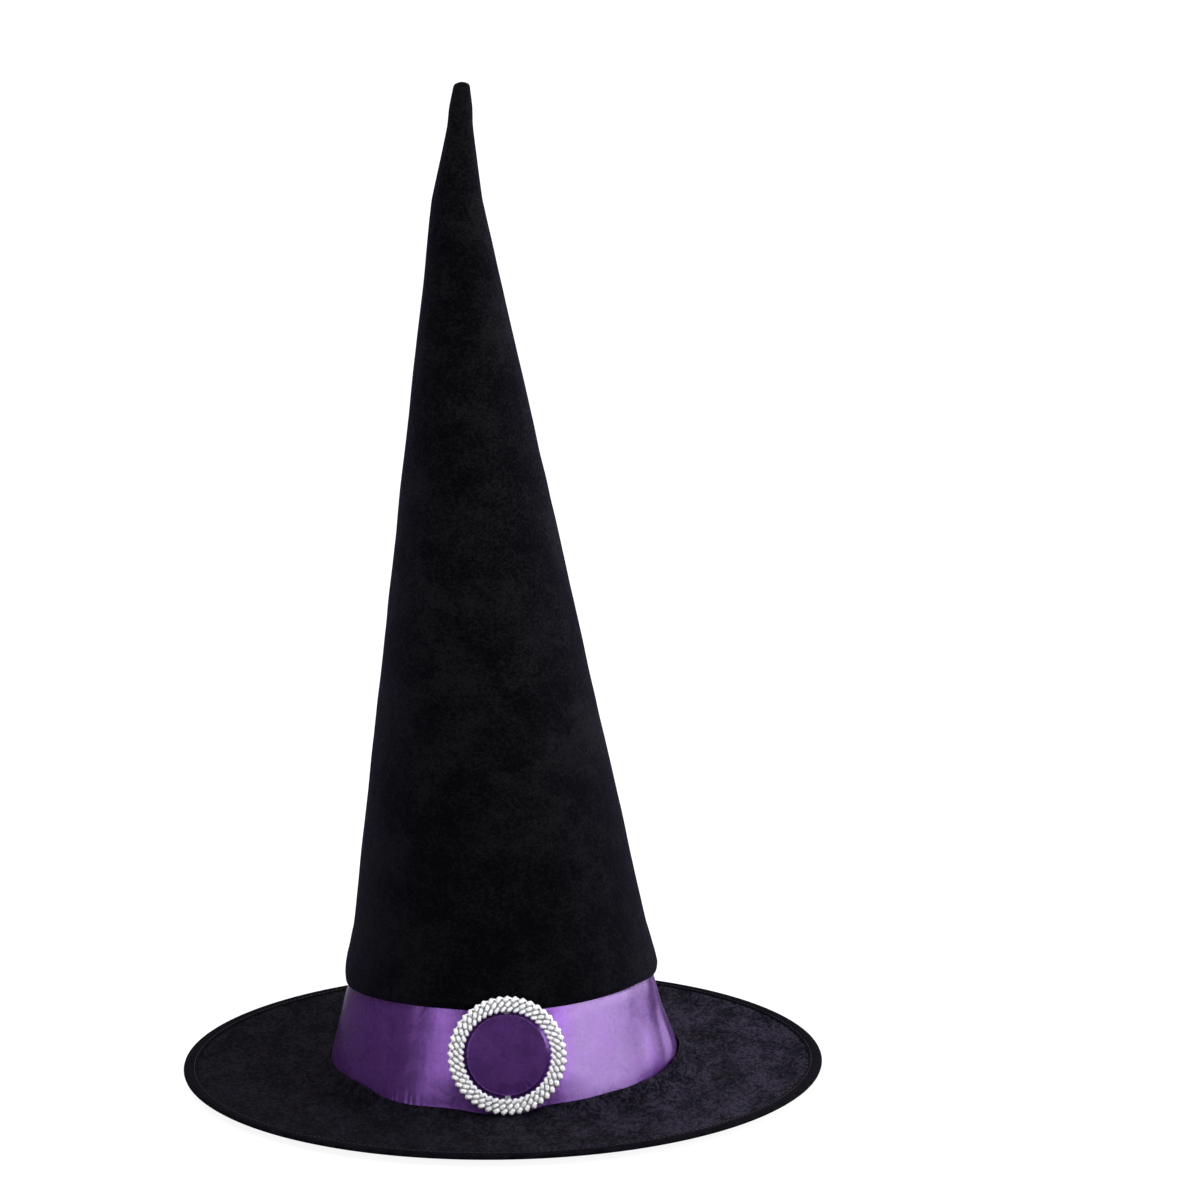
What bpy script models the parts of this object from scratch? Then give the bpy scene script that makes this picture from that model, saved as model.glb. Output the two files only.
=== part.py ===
"""Poseable velvet witch hat: wide stiffened brim, tall wired cone, satin band
and a round slide buckle set with three rows of cut stones.

Frame: metres, +Z up. The origin is the centre of the head opening on the flat
underside of the brim. The buckle faces -Y and +X is the wearer's left.
The cone is held by one soft wire sewn up its back seam, so it can be bent to
either side at any height. It is modelled as a chain of short cone sections,
each turning about a Y axis through the cone's own centre line.
"""
import bpy
import bmesh
from math import sin, cos, tan, pi, radians, hypot, atan2
from mathutils import Vector

# ---------------------------------------------------------------- dimensions
BRIM_R = 0.1850            # brim outer radius, over the binding
BRIM_HOLE_R = 0.0965       # brim inner edge, under the crown wall
BRIM_FLAT_R = 0.1400       # the underside is flat out to here
BRIM_RISE = 0.0030         # gentle upward dish between there and the edge
BRIM_CLOTH_R = 0.1805      # where the three brim layers end, inside the binding
BRIM_SIDES = 48

UNDERSIDE_T = 0.0004
CORE_Z0, CORE_Z1 = 0.0007, 0.0015
CORE_R = 0.1738            # the stiff core stops short of the thin edge
TOP_Z0, TOP_Z1 = 0.0018, 0.0024
EDGE_LIFT = 0.0010         # past the core the underside rises to meet the top cloth
EDGE_LIFT_R0, EDGE_LIFT_R1 = 0.1742, 0.1765
BINDING_LAP = 0.0074       # how far the binding folds over the brim
BINDING_T = 0.0004
EDGE_WIRE_R = 0.0005

CROWN_SIDES = 32
CONE_Z0, CONE_R0 = 0.0850, 0.0850   # a radius on the straight cone, and its height
CONE_TAPER = 0.1685        # loss of radius per unit of height
TIP_Z = 0.5710             # top of the rounded tip
TIP_CAP_R = 0.0055
LEAN = -0.0417             # sideways lean of the centre line, from LEAN_Z up
LEAN_Z = 0.0750
TIP_KICK = 0.0570          # the last stretch turns back the other way
TIP_KICK_Z = 0.5050

VELVET_T = 0.0012
LINING_T = 0.0008
GAP = 0.0003

WALL_Z0, WALL_R0 = 0.0027, 0.0996   # foot of the crown's collar, under the band
WALL_Z1, WALL_R1 = 0.0525, 0.0872   # top of that collar
BAND_Z0, BAND_R0 = 0.0029, 0.1009   # satin band, outside
BAND_Z1, BAND_R1 = 0.0520, 0.0887
BAND_T = 0.0010

SWEAT_Z0, SWEAT_Z1 = 0.0015, 0.0360
SWEAT_T = 0.0010

# Bend axes up the cone: height, and the largest bend either way in degrees
BENDS = [(0.205, 28.0), (0.262, 31.0), (0.315, 33.0), (0.363, 35.0),
         (0.407, 37.0), (0.447, 42.0), (0.483, 48.0), (0.515, 54.0),
         (0.542, 54.0)]
FOLD_HALF = 0.0014         # half the cloth hinge's height at the axis itself
FOLD_EXTRA_DEG = 1.0       # spare opening beyond half the bend
LINED_SECTIONS = 5         # the lining is closed off above this section
WIRE_R = 0.0008
WIRE_INSET = 0.0036        # wire centre, inside the outer surface
WIRE_END = 0.0012          # each wire piece stops this far from a bend axis

BUCKLE_X = 0.0025
BUCKLE_Z = 0.0360
BUCKLE_Y = -0.0972         # back plane of the buckle at its centre
BUCKLE_LEAN = radians(9.95)
BUCKLE_RI, BUCKLE_RO = 0.0244, 0.0330
BUCKLE_T = 0.0022
STONES = 45
STONE_ROWS = {"rhinestones_inner_row": (0.02585, 0.74),
              "rhinestones_middle_row": (0.02870, 0.0),
              "rhinestones_outer_row": (0.03155, -0.74)}
STONE_HALF = 0.0012
STONE_Z0, STONE_Z1 = 0.0025, 0.0044
PANEL_R = 0.0237           # satin drawn forward over the bar, inside the ring
PANEL_T = 0.0010

# ------------------------------------------------------------------ the scene
for ob in list(bpy.data.objects):
    bpy.data.objects.remove(ob, do_unlink=True)

PARTS = bpy.data.collections.new("witch_hat")
CUTTERS = bpy.data.collections.new("witch_hat_cutters")
bpy.context.scene.collection.children.link(PARTS)
bpy.context.scene.collection.children.link(CUTTERS)


def material(name, rgb, rough, metal=0.0, sheen=0.0):
    m = bpy.data.materials.new(name)
    m.use_nodes = True
    p = m.node_tree.nodes["Principled BSDF"]
    p.inputs["Base Color"].default_value = (rgb[0], rgb[1], rgb[2], 1.0)
    p.inputs["Roughness"].default_value = rough
    p.inputs["Metallic"].default_value = metal
    p.inputs["Sheen Weight"].default_value = sheen
    m.diffuse_color = (rgb[0], rgb[1], rgb[2], 1.0)
    return m


COLOURS = {
    "velvet": ((0.010, 0.009, 0.014), 0.85, 0.0, 0.5),
    "brim_velvet": ((0.014, 0.012, 0.020), 0.85, 0.0, 0.5),
    "lining": ((0.012, 0.012, 0.014), 0.6, 0.0, 0.1),
    "felt": ((0.05, 0.05, 0.055), 0.95, 0.0, 0.0),
    "buckram": ((0.03, 0.03, 0.032), 0.9, 0.0, 0.0),
    "binding": ((0.016, 0.015, 0.018), 0.75, 0.0, 0.2),
    "grosgrain": ((0.015, 0.014, 0.018), 0.7, 0.0, 0.1),
    "satin": ((0.145, 0.045, 0.300), 0.38, 0.0, 0.2),
    "steel": ((0.55, 0.56, 0.58), 0.35, 1.0, 0.0),
    "silver": ((0.80, 0.80, 0.82), 0.22, 1.0, 0.0),
    "crystal": ((0.88, 0.89, 0.92), 0.08, 0.3, 0.0),
}


def finish(ob, kind, parent=None):
    """Own material, and a place in the parts collection."""
    rgb, rough, metal, sheen = COLOURS[kind]
    ob.data.materials.clear()
    ob.data.materials.append(material(ob.name + "_" + kind, rgb, rough, metal, sheen))
    for c in list(ob.users_collection):
        c.objects.unlink(ob)
    PARTS.objects.link(ob)
    if parent is not None:
        ob.parent = parent
    return ob


def as_cutter(ob):
    for c in list(ob.users_collection):
        c.objects.unlink(ob)
    CUTTERS.objects.link(ob)
    ob.hide_render = True
    ob.display_type = 'WIRE'
    return ob


def smooth(ob, angle=35.0):
    ob.data.shade_smooth()
    ob.data.set_sharp_from_angle(angle=radians(angle))


def turned(name, section, steps, kind):
    """A closed section at +X, running down its outer side first, turned about Z."""
    me = bpy.data.meshes.new(name)
    n = len(section)
    me.from_pydata([(r, 0.0, z) for r, z in section],
                   [(i, (i + 1) % n) for i in range(n)], [])
    ob = bpy.data.objects.new(name, me)
    finish(ob, kind)
    s = ob.modifiers.new("turn", 'SCREW')
    s.axis = 'Z'
    s.angle = 2 * pi
    s.steps = s.render_steps = steps
    s.use_merge_vertices = True
    s.merge_threshold = 0.00001
    s.use_smooth_shade = False
    return ob


# ------------------------------------------------------- the crown's own form
def cone_r(z):
    """Outer radius of the crown at a height, rounded over at the tip."""
    r = CONE_R0 - CONE_TAPER * (z - CONE_Z0)
    zc = TIP_Z - TIP_CAP_R
    if z > zc:
        u = min((z - zc) / TIP_CAP_R, 1.0)
        r = min(r, TIP_CAP_R * max(1.0 - u * u, 0.0) ** 0.5)
    return r


def lean_x(z):
    """Sideways position of the crown's centre line at a height."""
    x = LEAN * max(min(z, TIP_KICK_Z) - LEAN_Z, 0.0)
    return x + TIP_KICK * max(z - TIP_KICK_Z, 0.0)


def lerp(a, b, t):
    return a + (b - a) * t


def wall_r(z):
    return lerp(WALL_R0, WALL_R1, (z - WALL_Z0) / (WALL_Z1 - WALL_Z0))


HINGES = [Vector((lean_x(z), 0.0, z)) for z, _ in BENDS]
SLOPES = [tan(radians(deg / 2 + FOLD_EXTRA_DEG)) for _, deg in BENDS]


def rim_height(i, side, x, margin=0.0):
    """Height of the slanted plane that ends a section at bend i.
    side is +1 above the axis and -1 below it."""
    return HINGES[i].z + side * (FOLD_HALF - margin + abs(x - HINGES[i].x) * SLOPES[i])


def rim_point(i, side, inset, a, margin=0.0):
    """The point at angle a where the cone, inset, meets that plane."""
    z = HINGES[i].z
    for _ in range(40):
        r = cone_r(z) - inset
        x = lean_x(z) + r * cos(a)
        z = rim_height(i, side, x, margin)
    r = cone_r(z) - inset
    return Vector((lean_x(z) + r * cos(a), r * sin(a), z))


def spun(section, steps):
    """bmesh of a closed section spun about Z; index of the section point kept."""
    bm = bmesh.new()
    tag = bm.verts.layers.int.new("station")
    vs = []
    for k, (r, z) in enumerate(section):
        v = bm.verts.new((r, 0.0, z))
        v[tag] = k
        vs.append(v)
    es = [bm.edges.new((vs[k], vs[(k + 1) % len(vs)])) for k in range(len(vs))]
    bmesh.ops.spin(bm, geom=vs + es, cent=(0, 0, 0), axis=(0, 0, 1),
                   angle=2 * pi, steps=steps, use_merge=True, use_duplicate=False)
    bmesh.ops.remove_doubles(bm, verts=bm.verts[:], dist=0.00001)
    return bm, tag


def into_object(bm, name, kind, origin=Vector((0, 0, 0))):
    bmesh.ops.translate(bm, verts=bm.verts[:], vec=-origin)
    bmesh.ops.recalc_face_normals(bm, faces=bm.faces[:])
    me = bpy.data.meshes.new(name)
    bm.to_mesh(me)
    bm.free()
    ob = bpy.data.objects.new(name, me)
    ob.location = origin
    finish(ob, kind)
    smooth(ob)
    return ob


def cone_section(name, kind, inset, thick, lower, upper, sides, origin, margin=0.0):
    """A ring of the cone between two slanted planes.
    lower and upper are (bend index, side)."""
    bm, tag = spun([(0.05, 0.1), (0.05, 0.0), (0.04, 0.0), (0.04, 0.1)], sides)
    ends = [(upper, inset), (lower, inset), (lower, inset + thick), (upper, inset + thick)]
    for v in bm.verts:
        (i, side), off = ends[v[tag]]
        v.co = rim_point(i, side, off, atan2(v.co.y, v.co.x), margin)
    return into_object(bm, name, kind, origin)


# --------------------------------------------------------------------- brim
def dish(r):
    return BRIM_RISE * max(r - BRIM_FLAT_R, 0.0) / (BRIM_R - BRIM_FLAT_R)


def brim_layer(name, z0, z1, kind, outer_r=BRIM_CLOTH_R, lift=0.0):
    radii = [outer_r, BRIM_FLAT_R, BRIM_HOLE_R]
    if lift:
        radii = [outer_r, EDGE_LIFT_R1, EDGE_LIFT_R0, BRIM_FLAT_R, BRIM_HOLE_R]
    rise = [dish(r) + (lift if r >= EDGE_LIFT_R1 else 0.0) for r in radii]
    under = [(r, z0 + h) for r, h in zip(radii, rise)]
    over = [(r, z1 + h) for r, h in zip(radii, rise)][::-1]
    return turned(name, [over[-1]] + under + over[:-1], BRIM_SIDES, kind)


brim_layer("brim_underside", 0.0, UNDERSIDE_T, "lining", lift=EDGE_LIFT)
brim_layer("brim_core", CORE_Z0, CORE_Z1, "felt", outer_r=CORE_R)
brim_layer("brim_top_velvet", TOP_Z0, TOP_Z1, "brim_velvet")

b0 = EDGE_LIFT - BINDING_T - GAP                         # binding, outside faces
b1 = TOP_Z1 + GAP + BINDING_T
ri = BRIM_R - BINDING_LAP
ro = BRIM_R - 0.0010
binding = [(BRIM_R, b1 - 0.0008), (BRIM_R, b0 + 0.0008), (BRIM_R - 0.0008, b0), (ri, b0),
           (ri, b0 + BINDING_T), (ro, b0 + BINDING_T), (ro, b1 - BINDING_T),
           (ri, b1 - BINDING_T), (ri, b1), (BRIM_R - 0.0008, b1)]
turned("brim_edge_binding", [(r, z + dish(r)) for r, z in binding], BRIM_SIDES, "binding")

bpy.ops.mesh.primitive_torus_add(
    major_segments=BRIM_SIDES, minor_segments=6, major_radius=0.5 * (BRIM_CLOTH_R + ro),
    minor_radius=EDGE_WIRE_R, location=(0, 0, 0.5 * (EDGE_LIFT + TOP_Z1) + dish(BRIM_CLOTH_R)))
edge_wire = bpy.context.object
edge_wire.name = "brim_edge_wire"
finish(edge_wire, "steel")
smooth(edge_wire, 80)

# ------------------------------------------------------- crown base and lining
# Outer surface from the first bend down: straight cone, then the rolled bulge
# that hangs over the top of the band.
ROLL = [(0.1420, None), (0.1000, None), (0.0850, None), (0.0730, 0.08790),
        (0.0660, 0.08960), (0.0605, 0.09030), (0.0555, 0.09010), (0.0530, 0.08920)]


def base_ring(name, kind, inset, thick, outer, inner, sides=CROWN_SIDES):
    """Base piece: closed section through outer then inner points, whose first
    outer and last inner points are slid onto the plane below the first bend."""
    section = [(0.02, 0.2)] + outer + inner + [(0.019, 0.2)]
    bm, tag = spun(section, sides)
    last = len(section) - 1
    for v in bm.verts:
        a = atan2(v.co.y, v.co.x)
        if v[tag] == 0:
            v.co = rim_point(0, -1, inset, a)
        elif v[tag] == last:
            v.co = rim_point(0, -1, inset + thick, a)
        else:
            v.co.x += lean_x(v.co.z)
    return into_object(bm, name, kind)


outer = [(cone_r(z) if r is None else r, z) for z, r in ROLL]
inner = [(WALL_R1 - VELVET_T, ROLL[-1][0]),
         (WALL_R1 - VELVET_T, 0.0620), (cone_r(0.085) - VELVET_T, 0.0850),
         (cone_r(0.142) - VELVET_T, 0.1420)]
base_ring("crown_base_velvet", "velvet", 0.0, VELVET_T, outer, inner)

# Stiff flaring collar that carries the crown on the brim, under the satin band
turned("crown_collar", [(WALL_R1, WALL_Z1), (WALL_R0, WALL_Z0),
                        (WALL_R0 - VELVET_T, WALL_Z0), (WALL_R1 - VELVET_T, WALL_Z1)],
       CROWN_SIDES, "buckram")

o = VELVET_T + GAP
lin_out = [(cone_r(0.142) - o, 0.1420), (cone_r(0.085) - o, 0.0850),
           (WALL_R1 - o, 0.0620), (WALL_R1 - o, WALL_Z1), (WALL_R0 - o, WALL_Z0)]
lin_in = [(r - LINING_T, z) for r, z in reversed(lin_out)]
base_ring("crown_base_lining", "lining", o, LINING_T, lin_out, lin_in)


def sweat_r(z):
    t = (z - 0.0048) / (SWEAT_Z1 - 0.0048)
    foot = 0.0955
    head = wall_r(SWEAT_Z1) - VELVET_T - LINING_T - 2 * GAP
    return lerp(foot, head, max(t, 0.0))


turned("sweatband", [(sweat_r(SWEAT_Z1), SWEAT_Z1), (sweat_r(0.0048), 0.0048),
                     (sweat_r(0.0), SWEAT_Z0), (sweat_r(0.0) - SWEAT_T, SWEAT_Z0),
                     (sweat_r(0.0048) - SWEAT_T, 0.0050),
                     (sweat_r(SWEAT_Z1) - SWEAT_T, SWEAT_Z1)], CROWN_SIDES, "grosgrain")

# ------------------------------------------------- sections of the bending cone
N = len(BENDS)
for i in range(N - 1):
    k = i + 1
    sides = 32 if k <= 3 else 24
    cone_section("crown_velvet_%d" % k, "velvet", 0.0, VELVET_T,
                 (i, +1), (i + 1, -1), sides, HINGES[i])
    if k <= LINED_SECTIONS:
        cone_section("crown_lining_%d" % k, "lining", VELVET_T + GAP, LINING_T,
                     (i, +1), (i + 1, -1), sides, HINGES[i])

# The soft cloth between two sections, bow-tie shaped in side view
for i in range(N):
    cone_section("crown_fold_%d" % (i + 1), "velvet", 0.0, VELVET_T,
                 (i, -1), (i, +1), 32 if i < 4 else 24, HINGES[i], margin=0.0004)

# Rounded closed tip: the profile's two ends meet the axis
tip_out = [0.5550, 0.5635, TIP_Z - TIP_CAP_R, TIP_Z - 0.0035, TIP_Z - 0.0015, TIP_Z - 0.0004]
bm = bmesh.new()
tag = bm.verts.layers.int.new("station")
tip = [(0.02, 0.500)] + [(max(cone_r(z), 0.0005), z) for z in tip_out] + [(0.0, TIP_Z)]
hollow = [(0.0, TIP_Z - 0.0045), (0.0028, TIP_Z - 0.0060), (cone_r(0.5550) - VELVET_T, 0.5550),
          (0.019, 0.500)]
chain = []
for k, (r, z) in enumerate(tip + hollow):
    v = bm.verts.new((r, 0.0, z))
    v[tag] = k
    chain.append(v)
edges = [bm.edges.new((chain[k], chain[k + 1])) for k in range(len(tip) - 1)]
edges += [bm.edges.new((chain[k], chain[k + 1])) for k in range(len(tip), len(chain) - 1)]
edges.append(bm.edges.new((chain[-1], chain[0])))
bmesh.ops.spin(bm, geom=chain + edges, cent=(0, 0, 0), axis=(0, 0, 1),
               angle=2 * pi, steps=24, use_merge=True, use_duplicate=False)
bmesh.ops.remove_doubles(bm, verts=bm.verts[:], dist=0.00001)
for v in bm.verts:
    a = atan2(v.co.y, v.co.x)
    if v[tag] == 0:
        v.co = rim_point(N - 1, +1, 0.0, a)
    elif v[tag] == len(chain) - 1:
        v.co = rim_point(N - 1, +1, VELVET_T, a)
    else:
        v.co.x += lean_x(v.co.z)
into_object(bm, "crown_tip_velvet", "velvet", HINGES[-1])

# ------------------------------------------------ the wire sewn in the back seam
def wire_at(z):
    return Vector((lean_x(z), cone_r(z) - WIRE_INSET, z))


for k in range(N + 1):
    z0 = 0.0880 if k == 0 else BENDS[k - 1][0]
    z1 = 0.5600 if k == N else BENDS[k][0]
    a, b = wire_at(z0), wire_at(z1)
    d = (b - a).normalized()
    if k > 0:
        a += d * WIRE_END
    if k < N:
        b -= d * WIRE_END
    origin = HINGES[k - 1] if k else Vector((0, 0, 0))
    cu = bpy.data.curves.new("armature_wire_%d" % k, 'CURVE')
    cu.dimensions = '3D'
    cu.bevel_depth = WIRE_R
    cu.bevel_resolution = 1
    cu.use_fill_caps = True
    sp = cu.splines.new('POLY')
    sp.points.add(1)
    sp.points[0].co = (*(a - origin), 1.0)
    sp.points[1].co = (*(b - origin), 1.0)
    ob = bpy.data.objects.new("armature_wire_%d" % k, cu)
    ob.location = origin
    finish(ob, "steel")

# ------------------------------------------------------------------- satin band
frame = bpy.data.objects.new("buckle_frame", None)
PARTS.objects.link(frame)
frame.location = (BUCKLE_X, BUCKLE_Y, BUCKLE_Z)
frame.rotation_euler = (pi / 2 - BUCKLE_LEAN, 0.0, 0.0)
bpy.context.view_layer.update()


def frustum(name, r0, z0, r1, z1, sides):
    bm = bmesh.new()
    bmesh.ops.create_cone(bm, cap_ends=True, segments=sides, radius1=r0, radius2=r1,
                          depth=z1 - z0)
    bmesh.ops.translate(bm, verts=bm.verts[:], vec=(0, 0, 0.5 * (z0 + z1)))
    me = bpy.data.meshes.new(name)
    bm.to_mesh(me)
    bm.free()
    return bpy.data.objects.new(name, me)


def box(name, lo, hi):
    bm = bmesh.new()
    bmesh.ops.create_cube(bm, size=1.0)
    bmesh.ops.scale(bm, verts=bm.verts[:], vec=[hi[k] - lo[k] for k in range(3)])
    bmesh.ops.translate(bm, verts=bm.verts[:], vec=[0.5 * (hi[k] + lo[k]) for k in range(3)])
    me = bpy.data.meshes.new(name)
    bm.to_mesh(me)
    bm.free()
    return bpy.data.objects.new(name, me)


def boolean(ob, other, how):
    m = ob.modifiers.new(how.lower(), 'BOOLEAN')
    m.operation = how
    m.object = other
    m.solver = 'EXACT'


slope = (BAND_R1 - BAND_R0) / (BAND_Z1 - BAND_Z0)
band = frustum("hat_band", BAND_R0, BAND_Z0, BAND_R1, BAND_Z1, CROWN_SIDES)
finish(band, "satin")
pad = as_cutter(frustum("band_pad", PANEL_R, -0.0120, PANEL_R, 0.0003, 32))
pad.parent = frame
face = as_cutter(frustum("band_face", PANEL_R, 0.0, PANEL_R - 0.0006, PANEL_T, 32))
face.parent = frame
keep = as_cutter(box("band_keep", (-0.06, -0.14, 0.0080), (0.06, -0.05, BAND_Z1 - 0.0005)))
slot = as_cutter(box("band_bar_slot", (-0.0019, -0.040, -0.0020), (0.0019, 0.040, -0.0002)))
slot.parent = frame
core = as_cutter(frustum("band_inside", BAND_R0 - BAND_T - slope * 0.0045, BAND_Z0 - 0.0045,
                         BAND_R1 - BAND_T + slope * 0.0040, BAND_Z1 + 0.0040, CROWN_SIDES))
boolean(pad, keep, 'INTERSECT')
boolean(band, pad, 'UNION')
boolean(band, face, 'UNION')
boolean(band, slot, 'DIFFERENCE')
boolean(band, core, 'DIFFERENCE')

# ----------------------------------------------------------------------- buckle
ring = turned("buckle_ring", [(BUCKLE_RO, 0.0014), (BUCKLE_RO, 0.0),
                              (BUCKLE_RI, 0.0), (BUCKLE_RI, 0.0014),
                              (BUCKLE_RI + 0.0009, BUCKLE_T), (BUCKLE_RO - 0.0009, BUCKLE_T)],
              BRIM_SIDES, "silver")
ring.parent = frame

bar = box("buckle_bar", (-0.0015, -BUCKLE_RO + 0.0012, -0.0015),
          (0.0015, BUCKLE_RO - 0.0012, -0.0005))
finish(bar, "silver", frame)

for name, (radius, phase) in STONE_ROWS.items():
    h = STONE_HALF
    zc = 0.5 * (STONE_Z0 + STONE_Z1)
    # girdle low and wide, table high and narrow
    section = [(radius + 0.55 * h, STONE_Z1), (radius + h, STONE_Z0 + 0.0006),
               (radius + 0.3 * h, STONE_Z0), (radius - h, STONE_Z0 + 0.0006),
               (radius - 0.55 * h, STONE_Z1)]
    bm, tag = spun(section, 2 * STONES)
    step = pi / STONES
    for v in bm.verts:
        a = atan2(v.co.y, v.co.x)
        k = int(round(a / step)) % 2
        r = hypot(v.co.x, v.co.y)
        z = v.co.z
        if k:                      # waist between two stones
            r = radius + (r - radius) * 0.5
            z = STONE_Z0 + 0.0002 + (z - STONE_Z0) * 0.45
        a += phase * 2 * step
        v.co = (r * cos(a), r * sin(a), z)
    ob = into_object(bm, name, "crystal")
    ob.parent = frame
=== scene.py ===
"""Looks for the poseable velvet witch hat.

Black crushed velvet over a wired cone, a velvet brim bound with folded tape, a
purple satin band, and a plated slide set with three rows of cut stones.
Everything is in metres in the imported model's own frame: the brim's flat
underside is at z = 0, the buckle faces -Y, the crown's back seam is at +Y.
"""
import math
import bpy
import bmesh
import numpy as np
from math import pi, sin, cos, tan, radians, degrees, atan2, hypot, sqrt, exp
from mathutils import Vector, Matrix, noise


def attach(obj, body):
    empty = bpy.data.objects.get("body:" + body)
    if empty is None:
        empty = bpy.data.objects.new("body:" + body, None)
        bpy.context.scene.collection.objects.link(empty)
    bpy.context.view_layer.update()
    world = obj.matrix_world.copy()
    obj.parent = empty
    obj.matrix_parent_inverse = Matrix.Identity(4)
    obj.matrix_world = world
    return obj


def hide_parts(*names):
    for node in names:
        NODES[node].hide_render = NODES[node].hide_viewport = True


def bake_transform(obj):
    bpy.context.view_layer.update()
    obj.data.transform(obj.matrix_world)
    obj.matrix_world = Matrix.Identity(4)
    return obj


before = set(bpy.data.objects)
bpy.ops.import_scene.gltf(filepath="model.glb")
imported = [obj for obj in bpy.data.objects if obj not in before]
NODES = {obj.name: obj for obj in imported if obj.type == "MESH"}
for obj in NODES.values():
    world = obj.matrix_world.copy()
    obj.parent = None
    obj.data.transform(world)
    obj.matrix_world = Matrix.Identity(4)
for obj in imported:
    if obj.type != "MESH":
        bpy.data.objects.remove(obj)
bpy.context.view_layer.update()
scene = bpy.context.scene

# ------------------------------------------------------------ shared dimensions
BRIM_R, BRIM_HOLE_R, BRIM_FLAT_R, BRIM_RISE = 0.1850, 0.0965, 0.1400, 0.0030
BINDING_LAP = 0.0074
EDGE_LIFT, EDGE_LIFT_R0, EDGE_LIFT_R1 = 0.0010, 0.1742, 0.1765
TOP_Z0, TOP_Z1, UNDERSIDE_T = 0.0018, 0.0024, 0.0004
CONE_Z0, CONE_R0, CONE_TAPER = 0.0850, 0.0850, 0.1685
TIP_Z, TIP_CAP_R = 0.5710, 0.0055
LEAN, LEAN_Z, TIP_KICK, TIP_KICK_Z = -0.0417, 0.0750, 0.0570, 0.5050
VELVET_T, LINING_T = 0.0012, 0.0008
WALL_Z0, WALL_R0, WALL_Z1, WALL_R1 = 0.0027, 0.0996, 0.0525, 0.0872
BAND_Z0, BAND_R0, BAND_Z1, BAND_R1 = 0.0029, 0.1009, 0.0520, 0.0887
HINGE_Z = [0.205, 0.262, 0.315, 0.363, 0.407, 0.447, 0.483, 0.515, 0.542]
# heights where one cloth piece of the crown hands over to the next
CUTS = [0.1765, 0.2335, 0.2885, 0.3390, 0.3850, 0.4270, 0.4650, 0.4990, 0.5285, 0.5560]
BODIES = ["brim_and_crown_base"] + ["crown_section_%d" % i for i in range(1, 9)] + ["crown_tip"]
BACK = pi / 2            # angle of the back seam; the front is at -pi/2
BUCKLE_X, BUCKLE_Y, BUCKLE_Z = 0.0025, -0.0972, 0.0360
BUCKLE = Matrix.Translation((BUCKLE_X, BUCKLE_Y, BUCKLE_Z)) @ Matrix.Rotation(
    pi / 2 - radians(9.95), 4, 'X')


def lerp(a, b, t):
    return a + (b - a) * t


def smoothstep(a, b, x):
    t = np.clip((np.asarray(x, float) - a) / (b - a), 0.0, 1.0)
    return t * t * (3 - 2 * t)


def dish(r):
    return BRIM_RISE * np.maximum(np.asarray(r, float) - BRIM_FLAT_R, 0.0) / (BRIM_R - BRIM_FLAT_R)


def cone_r(z):
    r = CONE_R0 - CONE_TAPER * (z - CONE_Z0)
    zc = TIP_Z - TIP_CAP_R
    if z > zc:
        u = min((z - zc) / TIP_CAP_R, 1.0)
        r = min(r, TIP_CAP_R * max(1.0 - u * u, 0.0) ** 0.5)
    return r


def lean_x(z):
    return LEAN * max(min(z, TIP_KICK_Z) - LEAN_Z, 0.0) + TIP_KICK * max(z - TIP_KICK_Z, 0.0)


def wobble(p, size, seed=0.0):
    """Smooth noise, about -1..1, with features of the given size in metres."""
    return noise.noise(Vector((p[0] / size + seed, p[1] / size - seed * 0.7, p[2] / size + seed * 1.3)))


def wrap(a):
    return (a + pi) % (2 * pi) - pi


def round_about(front, table):
    """Smooth value at angles from the front, from (degrees, value) points all the way round."""
    t = np.array(sorted(table), float)
    x = np.concatenate([t[-2:, 0] - 360, t[:, 0], t[:2, 0] + 360])
    y = np.concatenate([t[-2:, 1], t[:, 1], t[:2, 1]])
    m = np.gradient(y, x)
    q = np.clip((np.degrees(np.atleast_1d(np.asarray(front, float))) + 180) % 360 - 180, -180, 180)
    i = np.clip(np.searchsorted(x, q, side='right') - 1, 0, len(x) - 2)
    h = x[i + 1] - x[i]
    u = (q - x[i]) / h
    return ((2 * u ** 3 - 3 * u ** 2 + 1) * y[i] + (u ** 3 - 2 * u ** 2 + u) * h * m[i]
            + (-2 * u ** 3 + 3 * u ** 2) * y[i + 1] + (u ** 3 - u ** 2) * h * m[i + 1])


def curve_through(points, step):
    """Points of a smooth curve through the given (r, z) points."""
    pts = [np.array(p, float) for p in points]
    out = []
    for i in range(len(pts) - 1):
        p0 = pts[max(i - 1, 0)]
        p1, p2 = pts[i], pts[i + 1]
        p3 = pts[min(i + 2, len(pts) - 1)]
        n = max(1, int(math.ceil(np.linalg.norm(p2 - p1) / step)))
        for j in range(n):
            t = j / n
            out.append(0.5 * ((2 * p1) + (p2 - p0) * t + (2 * p0 - 5 * p1 + 4 * p2 - p3) * t ** 2
                              + (3 * p1 - p0 - 3 * p2 + p3) * t ** 3))
    out.append(pts[-1])
    return [(float(q[0]), float(q[1])) for q in out]


# ------------------------------------------------------------------ mesh making
def build(name, verts, faces, material, normals=None, sharp=40.0):
    """Mesh object from numpy vertices and a face list, with its rest position
    kept for the materials. normals is {loop row: vector} as an array or None."""
    me = bpy.data.meshes.new(name)
    me.from_pydata(np.asarray(verts).tolist(), [], faces)
    me.update()
    me.shade_smooth()
    me.set_sharp_from_angle(angle=radians(sharp))
    at = me.attributes.new("rest", 'FLOAT_VECTOR', 'POINT')
    at.data.foreach_set("vector", np.asarray(verts, np.float32).ravel())
    ob = bpy.data.objects.new(name, me)
    scene.collection.objects.link(ob)
    if material is not None:
        me.materials.append(material)
    if normals is not None:
        me.normals_split_custom_set(normals)
    return ob


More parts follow.
